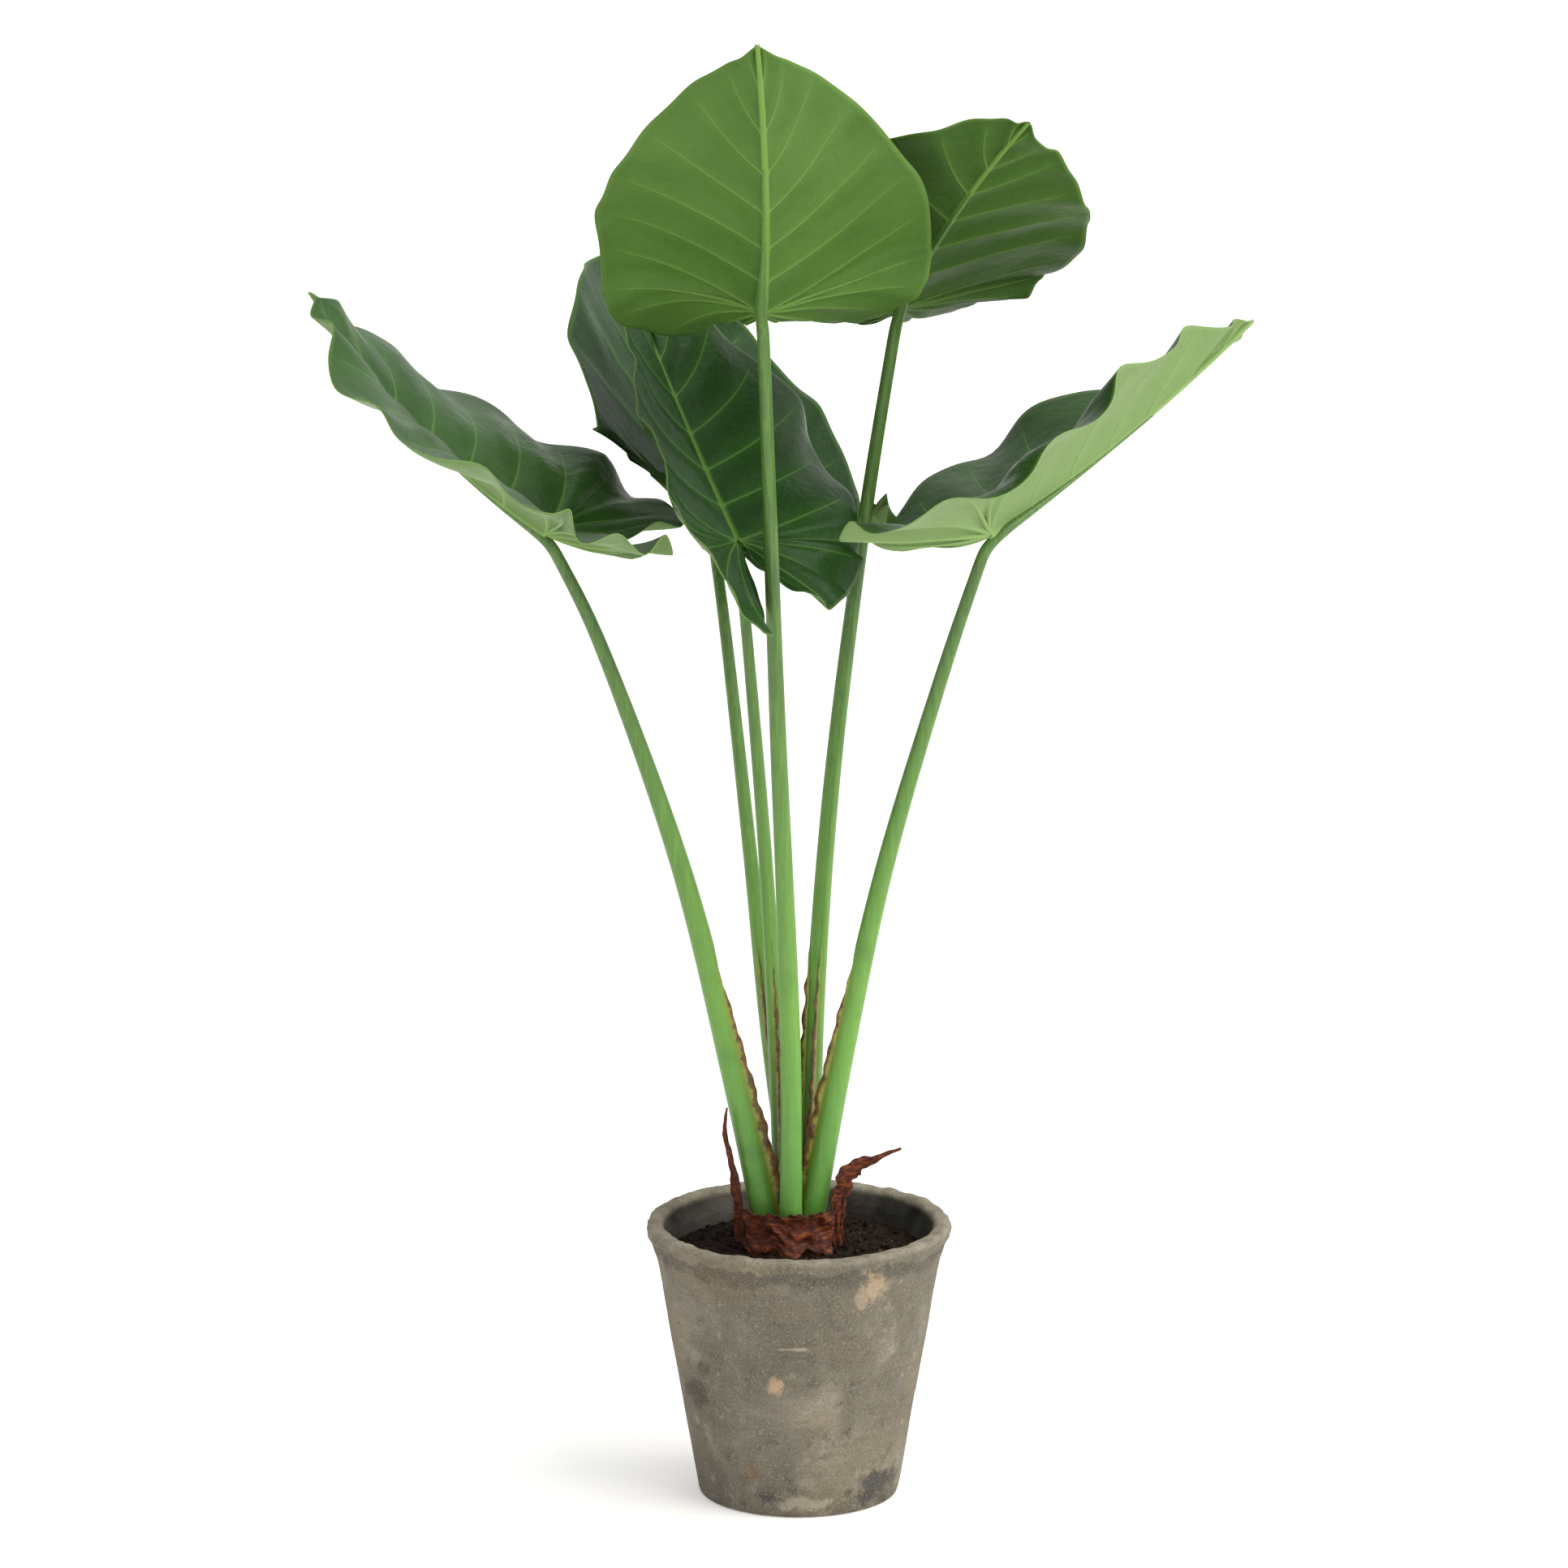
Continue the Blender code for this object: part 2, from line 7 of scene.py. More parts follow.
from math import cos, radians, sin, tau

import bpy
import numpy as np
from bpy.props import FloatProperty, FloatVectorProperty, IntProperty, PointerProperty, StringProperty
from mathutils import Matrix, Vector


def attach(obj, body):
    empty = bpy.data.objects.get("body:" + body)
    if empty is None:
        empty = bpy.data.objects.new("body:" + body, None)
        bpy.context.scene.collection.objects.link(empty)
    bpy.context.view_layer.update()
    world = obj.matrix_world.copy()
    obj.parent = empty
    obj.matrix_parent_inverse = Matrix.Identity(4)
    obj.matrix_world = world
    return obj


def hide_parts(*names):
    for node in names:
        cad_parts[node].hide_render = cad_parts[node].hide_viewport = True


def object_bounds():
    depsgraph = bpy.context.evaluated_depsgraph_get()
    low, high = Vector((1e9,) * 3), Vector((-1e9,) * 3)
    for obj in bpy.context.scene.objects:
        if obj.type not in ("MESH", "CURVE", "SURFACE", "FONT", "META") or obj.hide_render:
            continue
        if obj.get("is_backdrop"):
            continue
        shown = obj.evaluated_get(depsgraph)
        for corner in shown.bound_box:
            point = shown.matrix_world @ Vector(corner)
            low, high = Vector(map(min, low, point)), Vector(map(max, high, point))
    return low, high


bl_info = {
    "name": "Potted alocasia",
    "version": (1, 0, 0),
    "blender": (4, 5, 0),
    "location": "3D Viewport > Sidebar > Alocasia",
    "description": "Builds a potted alocasia: pot, compost, stem base, stalks, blades and dried sheaths",
    "category": "Add Mesh",
}

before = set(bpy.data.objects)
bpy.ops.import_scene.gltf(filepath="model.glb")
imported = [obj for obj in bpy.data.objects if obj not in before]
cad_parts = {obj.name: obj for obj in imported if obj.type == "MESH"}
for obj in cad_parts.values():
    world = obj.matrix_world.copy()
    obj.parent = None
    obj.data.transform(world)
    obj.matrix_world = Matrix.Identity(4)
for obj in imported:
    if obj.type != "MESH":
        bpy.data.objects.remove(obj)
CAD_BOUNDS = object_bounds()

# Clay pot
NECK_RADIUS = 0.115
NECK_HEIGHT = 0.191
MOUTH_RADIUS = 0.111
WELL_RADIUS = 0.070
WELL_FLOOR = 0.014
MOUTH_DROP = 0.004  # how far below the rim the well's straight wall ends
DRAIN_RADIUS = 0.007
DRAIN_CIRCLE = 0.040
DRAIN_COUNT = 3

# Soil and stem base
SOIL_EDGE = 0.203
SOIL_CROWN = 0.211
CROWN_RADIUS = 0.070
CORM_CENTRE = (-0.008, 0.003, 0.0)
CORM_RADIUS = 0.037
CORM_FOOT = 0.130
CORM_TOP = 0.215

# Dried sheath at the front
WRAP_RADIUS = 0.0425
WRAP_TOP = 0.249
WRAP_SPAN = 100
SHEATH_WALL = 0.0008

# Half outline of a blade, from its tip round a lobe to the notch behind the stalk. Across is in half
# widths. Along is in blade lengths in front of the stalk, and in lobe lengths behind it.
HALF_OUTLINE = (
    (0.00, 1.00), (0.10, 0.955), (0.36, 0.845), (0.68, 0.66), (0.91, 0.42), (1.00, 0.16), (0.97, -0.16),
    (0.84, -0.52), (0.62, -0.85), (0.42, -1.00), (0.25, -0.90), (0.13, -0.62), (0.05, -0.30), (0.00, -0.12),
)
KNEE = 5 / 13  # how far round the outline the vein that leaves the stalk sideways ends
# Where the side veins end, as shares of the way round the half outline. The long one is a lobe's own rib.
SIDE_VEINS = (0.050, 0.105, 0.160, 0.216, 0.272, 0.328, 0.385, 0.445, 0.515, 0.595, 0.690, 0.790, 0.890)
LOBE_RIB = 0.690
ROWS_PER_VEIN = 13
BLADE_COLUMNS = 84
BLADE_THICKEST = 0.0045
# Reach of each mark from the middle of its vein, at the stalk
MIDRIB_REACH = 0.0032
RIB_REACH = 0.0020
VEIN_REACH = 0.0014
# The halo's reach: a lighter band along each vein, painted light and shade for the quilted blade.
HALO_REACH = 0.007
# What the midrib and the side veins add to the thickness of the blade
MIDRIB_THICKER = 0.0026
VEIN_THICKER = 0.0010

# Each leaf: where its stalk joins the blade, the blade's attitude there in degrees (heading about Z from
# +X, rise above level, roll about the midrib), its lengths, and how the sheet bends. A pair is the
# blade's (left, right) half, seen from above with the tip ahead.
#   arch, sweep, twist  total bend of the midrib down, to the right and about itself
#   lobe_arch, lobe_splay  total bend of each lobe up and outwards
#   fold, fold_tip, fold_lobe  how steeply each half rises from the midrib, at the stalk, tip and lobes
#   curl, rim  how much steeper it gets towards the edge, evenly and at the edge alone
#   shoulder  extra width towards the tip; ruffle, waves, phase  the wavy edge
#   tone  how dark the green is, from 0 on a pale young leaf to 1 on an old one: partly age, partly painted
#   light and shade for how each leaf is lit
#   bloom  how much grey wax lies underneath, partly painted light on undersides that face the light
LEAVES = {
    "a": dict(
        joint=(-0.029, -0.090, 0.999), heading=-87, rise=38, roll=-4,
        length=0.305, width=(0.148, 0.135), lobe=(0.090, 0.090), shoulder=(-0.12, 0.12),
        arch=-24, sweep=6, twist=6, lobe_arch=(55, 59), lobe_splay=(-5, 25),
        fold=(30, 30), fold_tip=(30, 20), fold_lobe=(-1, -5),
        curl=(8, -25), rim=(-25, -25),
        ruffle=(0.0028, 0.0043), waves=(4.7, 5.1), phase=(0.46, 0.52), tone=0.12, bloom=0.0,
    ),
    "b": dict(
        joint=(0.081, 0.075, 0.978), heading=-68, rise=42, roll=-17,
        length=0.300, width=(0.141, 0.140), lobe=(0.090, 0.110), shoulder=(-0.07, 0.00),
        arch=10, sweep=-6, twist=-4, lobe_arch=(58, 60), lobe_splay=(-5, 0),
        fold=(30, 8), fold_tip=(0, 5), fold_lobe=(23, 8),
        curl=(-6, -5), rim=(-3, -1),
        ruffle=(0.0044, 0.0041), waves=(6.6, 5.9), phase=(0.24, 0.66), tone=0.62, bloom=0.0,
    ),
    "c": dict(
        joint=(0.153, -0.030, 0.810), heading=41, rise=20, roll=-45,
        length=0.315, width=(0.150, 0.130), lobe=(0.096, 0.117), shoulder=(0.30, -0.20),
        arch=-8, sweep=15, twist=12, lobe_arch=(62, 56), lobe_splay=(16, 30),
        fold=(25, 18), fold_tip=(7, 45), fold_lobe=(48, 4),
        curl=(37, -40), rim=(-16, -8),
        ruffle=(0.0087, 0.0070), waves=(8.4, 8.6), phase=(0.19, 0.71), tone=0.62, bloom=0.55,
    ),
    "d": dict(
        joint=(-0.203, -0.030, 0.811), heading=173, rise=33, roll=-5,
        length=0.271, width=(0.155, 0.155), lobe=(0.130, 0.085), shoulder=(0.30, 0.30),
        arch=-25, sweep=2, twist=-6, lobe_arch=(51, 62), lobe_splay=(-4, 30),
        fold=(40, 31), fold_tip=(21, -5), fold_lobe=(35, 18),
        curl=(-50, -50), rim=(45, 21),
        ruffle=(0.0081, 0.0058), waves=(9.1, 8.9), phase=(0.03, 0.45), tone=0.55, bloom=0.30,
    ),
    "e": dict(
        joint=(-0.049, -0.010, 0.801), heading=117, rise=39, roll=11,
        length=0.250, width=(0.120, 0.120), lobe=(0.099, 0.085), shoulder=(-0.20, 0.25),
        arch=-18, sweep=-10, twist=-10, lobe_arch=(-9, 20), lobe_splay=(20, -10),
        fold=(11, 27), fold_tip=(32, 8), fold_lobe=(18, 6),
        curl=(35, -35), rim=(9, -11),
        ruffle=(0.0031, 0.0056), waves=(6.5, 7.9), phase=(0.73, 1.18), tone=0.88, bloom=0.15,
    ),
    "f": dict(
        joint=(-0.074, 0.135, 0.800), heading=109, rise=35, roll=5,
        length=0.300, width=(0.150, 0.130), lobe=(0.080, 0.095), shoulder=(0.16, 0.00),
        arch=-6, sweep=4, twist=10, lobe_arch=(80, 0), lobe_splay=(-20, 0),
        fold=(28, 10), fold_tip=(29, 10), fold_lobe=(31, 10),
        curl=(24, 0), rim=(-19, 0),
        ruffle=(0.0049, 0.0050), waves=(7.1, 7.0), phase=(0.39, 0.87), tone=0.95, bloom=0.0,
    ),
}

# Each stalk: the centre of its foot on the stem base, its radius at both ends and points on the way up
STALK_FOOT = CORM_TOP + 0.0004
STALKS = {
    "a": dict(
        foot=(-0.0065, -0.027), base=0.0095, top=0.0050,
        route=((-0.007, -0.038, 0.400), (-0.017, -0.056, 0.655), (-0.024, -0.074, 0.857)),
    ),
    "b": dict(
        foot=(0.010, 0.016), base=0.0090, top=0.0050,
        route=((0.013, 0.024, 0.390), (0.027, 0.039, 0.590), (0.053, 0.062, 0.800)),
    ),
    "c": dict(
        foot=(0.0065, -0.006), base=0.0118, top=0.0050,
        route=((0.033, -0.012, 0.361), (0.069, -0.014, 0.530), (0.116, -0.017, 0.694)),
    ),
    "d": dict(
        foot=(-0.0215, -0.003), base=0.0135, top=0.0050,
        route=((-0.053, -0.006, 0.359), (-0.096, -0.010, 0.533), (-0.158, -0.015, 0.712)),
    ),
    "e": dict(
        foot=(-0.012, 0.019), base=0.0080, top=0.0045,
        route=((-0.018, 0.017, 0.367), (-0.026, 0.011, 0.519), (-0.038, 0.005, 0.676)),
    ),
    "f": dict(
        foot=(-0.002, 0.034), base=0.0080, top=0.0045,
        route=((-0.024, 0.042, 0.373), (-0.040, 0.054, 0.529), (-0.060, 0.092, 0.705)),
    ),
}

# The two dried strips that stand beside the stalks
CURLS = {
    "sheath_left": dict(
        route=(
            (-0.0465, -0.008, SOIL_CROWN + 0.001), (-0.0475, -0.009, 0.240), (-0.0510, -0.011, 0.268),
            (-0.0570, -0.014, 0.294), (-0.0600, -0.017, 0.312), (-0.0585, -0.019, 0.331),
        ),
        half_widths=(0.009, 0.008, 0.007, 0.005, 0.003, 0.0008), facing=(-1, -0.5, 0), cup=0.3,
    ),
    "sheath_right": dict(
        route=(
            (0.0325, -0.016, SOIL_CROWN + 0.001), (0.0320, -0.018, 0.240), (0.0365, -0.020, 0.262),
            (0.0445, -0.021, 0.279), (0.0620, -0.021, 0.288), (0.0840, -0.020, 0.297),
        ),
        half_widths=(0.006, 0.006, 0.008, 0.008, 0.003, 0.0008), facing=(0.4, -0.9, 0), cup=-0.2,
    ),
}


def linear(hex_colour):
    """The linear colour of an sRGB hex value."""
    parts = [int(hex_colour[i : i + 2], 16) / 255 for i in (1, 3, 5)]
    return tuple(p / 12.92 if p <= 0.04045 else ((p + 0.055) / 1.055) ** 2.4 for p in parts) + (1.0,)


def length_property(name, description, metres):
    return FloatProperty(name=name, description=description, default=metres, unit="LENGTH")


def colour_property(name, description, hex_colour):
    colour = linear(hex_colour)
    return FloatVectorProperty(
        name=name, description=description, subtype="COLOR", size=4, min=0, max=1, default=colour
    )


class PotSettings(bpy.types.PropertyGroup):
    rim_radius: length_property("Rim radius", "Outside radius of the rim", 0.125)
    height: length_property("Height", "Height of the pot", 0.230)
    foot_radius: length_property("Foot radius", "Radius of the foot", 0.083)
    wobble: length_property("Wobble", "Unevenness of the fired wall", 0.0016)
    clay: colour_property("Clay", "Main colour of the fired clay", "#716B5E")
    pale: colour_property("Bloom", "Pale mineral bloom on the clay", "#8F887A")
    dark: colour_property("Soot", "Dark stains on the clay", "#3F3C37")


class SoilSettings(bpy.types.PropertyGroup):
    crumbs: IntProperty(name="Crumbs", description="Number of loose crumbs", default=620, min=0, max=2000)
    crumb_size: length_property("Crumb size", "Largest crumb", 0.0034)
    colour: colour_property("Compost", "Colour of the damp compost", "#20150F")


class LeafSettings(bpy.types.PropertyGroup):
    wall: length_property("Wall", "Thickness of the blade between veins", 0.0010)
    quilt: length_property("Quilting", "Rise between two veins", 0.0023)
    # Blades are mixed from young to old green by their tone, which is partly age and partly painted light
    # and shade.
    young: colour_property("Young green", "Upper face of a young leaf", "#44692A")
    old: colour_property("Old green", "Upper face of an old leaf", "#1B3718")
    under: colour_property("Underside", "Lower face", "#517431")
    vein: colour_property("Veins", "Midrib and side veins", "#6E9444")


class StalkSettings(bpy.types.PropertyGroup):
    wing: length_property("Wing", "Width of a sheath wing at its foot", 0.0125)
    wing_top: length_property("Wing top", "Height at which the wings end", 0.465)
    low: colour_property("Foot green", "Colour low on the stalk", "#4F8A33")
    high: colour_property("Top green", "Colour high on the stalk", "#41602A")
    margin: colour_property("Wing margin", "Dry margin of the wings", "#7A4F22")


class SheathSettings(bpy.types.PropertyGroup):
    wrinkle: length_property("Wrinkles", "Depth of the wrinkles", 0.0014)
    colour: colour_property("Dry sheath", "Colour of the papery sheath", "#854018")
    dark: colour_property("Fibres", "Colour of its dark fibres", "#3A160C")


class StageSettings(bpy.types.PropertyGroup):
    floor: length_property("Floor", "Side of the floor", 60.0)
    sky: FloatProperty(name="Sky", description="Strength of the even light", default=0.78)
    key: FloatProperty(name="Key", description="Strength of the soft key light", default=2.1)
    lens: FloatProperty(name="Lens", description="Focal length of the camera", default=159.23, unit="CAMERA")


def node(tree, kind, inputs=(), out=0, stops=(), **settings):
    """Adds a node and returns its socket out. Inputs are values or sockets, in order or by socket."""
    made = tree.nodes.new("ShaderNode" + kind)
    for key, value in settings.items():
        setattr(made, key, value)
    for key, value in inputs.items() if isinstance(inputs, dict) else enumerate(inputs):
        if isinstance(value, bpy.types.NodeSocket):
            tree.links.new(value, made.inputs[key])
        else:
            made.inputs[key].default_value = value
    if stops:
        ramp = made.color_ramp.elements
        while len(ramp) < len(stops):
            ramp.new(0.5)
        for element, (place, colour) in zip(ramp, stops):
            element.position = place
            element.color = linear(colour) if isinstance(colour, str) else colour
    return made.outputs[out]


def new_material(name, roughness, specular):
    """A material, its tree, its shader with its even settings, and object coordinates."""
    material = bpy.data.materials.new(name)
    material.use_nodes = True
    tree = material.node_tree
    shader = tree.nodes["Principled BSDF"]
    shader.inputs["Roughness"].default_value = roughness
    shader.inputs["Specular IOR Level"].default_value = specular
    return material, tree, shader, node(tree, "TexCoord", out="Object")


def layered(tree, colour, layers):
    """Lays colours over a base. Each has its mask, the mask's values where the colour starts and is
    full, and its strength there."""
    for mask, start, full, strength, tint in layers:
        factor = node(tree, "MapRange", (mask, start, full, 0.0, strength))
        tint = linear(tint) if isinstance(tint, str) else tint
        colour = node(tree, "Mix", {0: factor, 6: colour, 7: tint}, 2, data_type="RGBA")
    return colour


def surfaced(tree, shader, colour, bumps):
    """Links a colour and a stack of bumps, each a height and its full depth in metres, to the shader."""
    tree.links.new(colour, shader.inputs["Base Color"])
    below = {}
    for height, depth in bumps:
        inputs = {"Height": height, "Distance": depth, "Strength": 1.0, **below}
        below["Normal"] = node(tree, "Bump", inputs)
    tree.links.new(below["Normal"], shader.inputs["Normal"])


# Blotches of the pot's front: across, height, half width, half height, colour, strength
BLOTCHES = (
    (0.061, 0.203, 0.010, 0.017, "#B19A7E", 0.75),
    (0.052, 0.190, 0.006, 0.010, "#A8937A", 0.6),
    (-0.019, 0.117, 0.0075, 0.008, "#B89A7C", 0.8),
    (-0.006, 0.152, 0.013, 0.0016, "#ADA392", 0.6),
    (-0.083, 0.098, 0.012, 0.014, "#45413B", 0.7),
    (-0.078, 0.123, 0.007, 0.008, "#4A463F", 0.6),
    (-0.040, 0.036, 0.009, 0.008, "#6E563A", 0.6),
    (0.064, 0.022, 0.027, 0.015, "#3B3A3A", 0.85),
    (-0.025, 0.019, 0.014, 0.006, "#3F3E3D", 0.7),
    (0.007, 0.012, 0.026, 0.006, "#A39A85", 0.6),
    (0.040, 0.150, 0.020, 0.012, "#6A6254", 0.4),
    (-0.060, 0.030, 0.022, 0.020, "#57534A", 0.5),
)
BLOTCH_REACH = 0.03  # how far into the wall a blotch reaches
LUMP = 0.8  # a noise's scale times the width of its lumps in metres


def blotch_layers(tree, pot, place, ragged):
    """A layer for each blotch, where the wall passes its middle, with a ragged edge."""
    for across, height, half_width, half_height, tint, strength in BLOTCHES:
        share = height / pot.height
        radius = pot.foot_radius + (pot.rim_radius - 0.008 - pot.foot_radius) * share
        middle = (across, -((radius**2 - across**2) ** 0.5), height)
        scale = (1 / half_width, 1 / BLOTCH_REACH, 1 / half_height)
        away = node(tree, "VectorMath", (place, middle), operation="SUBTRACT")
        scaled = node(tree, "VectorMath", (away, scale), operation="MULTIPLY")
        distance = node(tree, "VectorMath", (scaled,), "Value", operation="LENGTH")
        yield node(tree, "Math", (distance, ragged)), 1.15, 0.55, strength, tint


def clay_material(pot):
    """Weathered fired clay, thrown by hand and left outdoors: matt, gritty, with bloom, soot and stains."""
    material, tree, shader, place = new_material("weathered fired clay", 0.92, 0.25)
    # Throwing marks run round the pot, about 7 mm apart.
    flat = node(tree, "Mapping", {"Vector": place, "Scale": (0.12, 0.12, 1.0)})
    cloudy, warm, streaks, spots, soot, uneven, grit = (
        node(
            tree, "TexNoise",
            {0: space, "Scale": LUMP / size, "Detail": detail, "Roughness": rough, "Distortion": twist},
        )
        for space, size, detail, rough, twist in (
            (place, 0.050, 5.0, 0.60, 0.4), (place, 0.090, 3.0, 0.55, 0.0), (flat, 0.0045, 4.0, 0.60, 0.0),
            (place, 0.013, 4.0, 0.65, 0.0), (place, 0.022, 5.0, 0.70, 0.0), (place, 0.012, 3.0, 0.55, 0.0),
            (place, 0.0011, 2.0, 0.70, 0.0),
        )
    )
    base = node(tree, "ValToRGB", (cloudy,), stops=((0.30, "#625C50"), (0.50, pot.clay), (0.72, pot.pale)))
    height = node(tree, "SeparateXYZ", (place,), "Z")
    height = node(tree, "Math", (height, node(tree, "MapRange", (uneven, 0.3, 0.7, -0.006, 0.006))))
    foot, sooty, band, above = (
        node(tree, "MapRange", limits)
        for limits in (
            (height, 0.050, 0.004), (soot, 0.42, 0.58), (height, 0.204, 0.210), (height, 0.2205, 0.2175),
        )
    )
    smoked = node(tree, "Math", (foot, sooty), operation="MULTIPLY")
    # A darker band on the underside of the rim's bead: painted shade beneath the lip.
    groove = node(tree, "Math", (band, above), operation="MULTIPLY")
    ragged = node(tree, "MapRange", (spots, 0.25, 0.75, -0.9, 0.9))
    inside, rim = (node(tree, "Attribute", out="Fac", attribute_name=mark) for mark in ("inside", "worn"))
    # The inside of the well is painted dark: painted shade in the recess.
    wall = node(tree, "ValToRGB", (cloudy,), stops=((0.35, "#2E2A26"), (0.70, "#66605A")))
    worn = node(tree, "ValToRGB", (spots,), stops=((0.35, "#7A7265"), (0.65, "#9A917F")))
    worn = layered(tree, worn, [(grit, 0.44, 0.30, 1.0, "#59534A")])
    colour = layered(tree, base, (
        (warm, 0.52, 0.68, 0.50, "#857659"),
        (streaks, 0.50, 0.72, 0.35, "#5A554B"),
        (spots, 0.60, 0.72, 0.55, "#A49A86"),
        (spots, 0.40, 0.30, 0.60, "#4B473F"),
        (smoked, 0.0, 1.0, 0.55, pot.dark),
        # painted shade under the rim
        (groove, 0.0, 1.0, 0.55, "#47443E"),
        *blotch_layers(tree, pot, place, ragged),
        (grit, 0.56, 0.72, 0.55, "#B2A892"),
        (grit, 0.42, 0.28, 0.70, "#3F3B34"),
        # painted shade over the inside of the well
        (inside, 0.0, 1.0, 1.0, wall),
        (rim, 0.0, 1.0, 1.0, worn),
    ))
    surfaced(tree, shader, colour, ((streaks, 0.0012), (spots, 0.0016), (grit, 0.0007)))
    return material


def compost_material(soil):
    """Damp peat compost: near black, crumbly and matt, with paler fibres and grains."""
    material, tree, shader, place = new_material("damp peat compost", 0.95, 0.15)
    grains = node(tree, "TexNoise", {0: place, "Scale": LUMP / 0.0022, "Detail": 4.0, "Roughness": 0.7})
    specks = node(tree, "TexNoise", {0: place, "Scale": LUMP / 0.0042, "Detail": 2.0, "Roughness": 0.5})
    stops = ((0.30, "#0B0705"), (0.52, soil.colour), (0.70, "#3C2A1C"))
    base = node(tree, "ValToRGB", (grains,), stops=stops)
    surfaced(tree, shader, layered(tree, base, [(specks, 0.67, 0.72, 0.7, "#6B5034")]), [(grains, 0.0015)])
    return material


def stem_base_material():
    """Corky old stem: brown rings of leaf scars, rough and matt, with a greener crown."""
    material, tree, shader, place = new_material("corky stem base", 0.85, 0.2)
    flat = node(tree, "Mapping", {"Vector": place, "Scale": (0.3, 0.3, 1.0)})
    rings = node(tree, "TexNoise", {0: flat, "Scale": LUMP / 0.003, "Detail": 4.0, "Roughness": 0.65})
    base = node(tree, "ValToRGB", (rings,), stops=((0.35, "#2E170C"), (0.55, "#6A3F1D"), (0.72, "#8E6A33")))
    surfaced(tree, shader, base, [(rings, 0.0015)])
    return material


UPPER_SKIN = "waxy upper leaf skin"
LOWER_SKIN = "matt lower leaf skin"
STALK_SKIN = "fleshy green stalk"


def blade_materials(leaf):
    """Live leaf skin: waxy deep green with pale veins above, and paler and matt below."""
    made = []
    # glow is the lighter green of the painted light along the veins; the fine cells use it too, at random.
    for name, rough, specular, ior, base, old, dim, glow, rib in (
        (UPPER_SKIN, 0.31, 0.5, 1.22, leaf.young, leaf.old, "#152D14", "#3F6A2E", leaf.vein),
        (LOWER_SKIN, 0.5, 0.20, 1.4, leaf.under, "#2F4C1D", "#35561F", "#5D8139", "#7A9F49"),
    ):
        material, tree, shader, place = new_material(name, rough, specular)
        shader.inputs["IOR"].default_value = ior
        tone, vein, halo, edge = (
            node(tree, "Attribute", out="Fac", attribute_name=mark)
            for mark in ("tone", "vein", "halo", "edge")
        )
        patches = node(
            tree, "TexNoise",
            {0: place, "Scale": LUMP / 0.045, "Detail": 4.0, "Roughness": 0.6, "Distortion": 0.5},
        )
        cells = node(tree, "TexNoise", {0: place, "Scale": LUMP / 0.0032, "Detail": 3.0, "Roughness": 0.6})
        wide = node(tree, "TexNoise", {0: place, "Scale": LUMP / 0.010, "Detail": 3.0, "Roughness": 0.55})
        colour = layered(tree, base, (
            # the leaf's tone: partly its age, partly painted light and shade for how it is lit
            (tone, 0.0, 1.0, 1.0, old),
            (patches, 0.40, 0.68, 0.35, dim),
            # painted light along the veins, leaving the quilted bulges between them darker as painted shade
            (halo, 0.0, 1.0, 0.40, glow),
            (cells, 0.40, 0.70, 0.16, glow),
            (vein, 0.25, 1.0, 0.62, rib),
            (edge, 0.2, 1.0, 0.30, rib),
        ))
        if name == LOWER_SKIN:
            # A grey-green bloom of wax, thicker on some leaves than on others, and partly painted light on
            # undersides that face the light.
            bloom = node(tree, "Attribute", out="Fac", attribute_name="bloom")
            colour = layered(tree, colour, [(bloom, 0.0, 1.0, 1.0, "#93AC72")])
        gloss = node(tree, "MapRange", (patches, 0.35, 0.70, rough - 0.05, rough + 0.10))
        tree.links.new(gloss, shader.inputs["Roughness"])
        surfaced(tree, shader, colour, ((wide, 0.0011), (cells, 0.00035)))
        made.append(material)
    return made


def stalk_material(stalk):
    """Fleshy green stalk: smooth, faintly ribbed along its length, with dry brown margins on its wings."""
    material, tree, shader, place = new_material(STALK_SKIN, 0.42, 0.5)
    rise, wing = (node(tree, "Attribute", out="Fac", attribute_name=mark) for mark in ("rise", "wing"))
    tall = node(tree, "Mapping", {"Vector": place, "Scale": (1.0, 1.0, 0.05)})
    fibres = node(tree, "TexNoise", {0: tall, "Scale": LUMP / 0.0022, "Detail": 3.0, "Roughness": 0.6})
    patches = node(tree, "TexNoise", {0: place, "Scale": LUMP / 0.020, "Detail": 3.0, "Roughness": 0.5})
    mottled = node(tree, "TexNoise", {0: place, "Scale": LUMP / 0.006, "Detail": 4.0, "Roughness": 0.65})
    base = node(
        tree, "ValToRGB", (rise,),
        stops=((0.0, stalk.low), (0.30, "#639436"), (0.85, stalk.high), (1.0, "#4E7030")),
    )
    dry = node(tree, "Math", (wing, node(tree, "MapRange", (mottled, 0.3, 0.7, -0.28, 0.28))))
    brown = node(tree, "ValToRGB", (mottled,), stops=((0.40, stalk.margin), (0.60, "#4E331A")))
    colour = layered(tree, base, (
        (fibres, 0.40, 0.70, 0.30, "#7CA84A"),
        (patches, 0.52, 0.75, 0.30, "#3F6D28"),
        (wing, 0.05, 0.45, 0.85, "#8E8E3A"),
        (dry, 0.38, 0.66, 0.95, brown),
    ))
    surfaced(tree, shader, colour, [(fibres, 0.0005)])
    return material


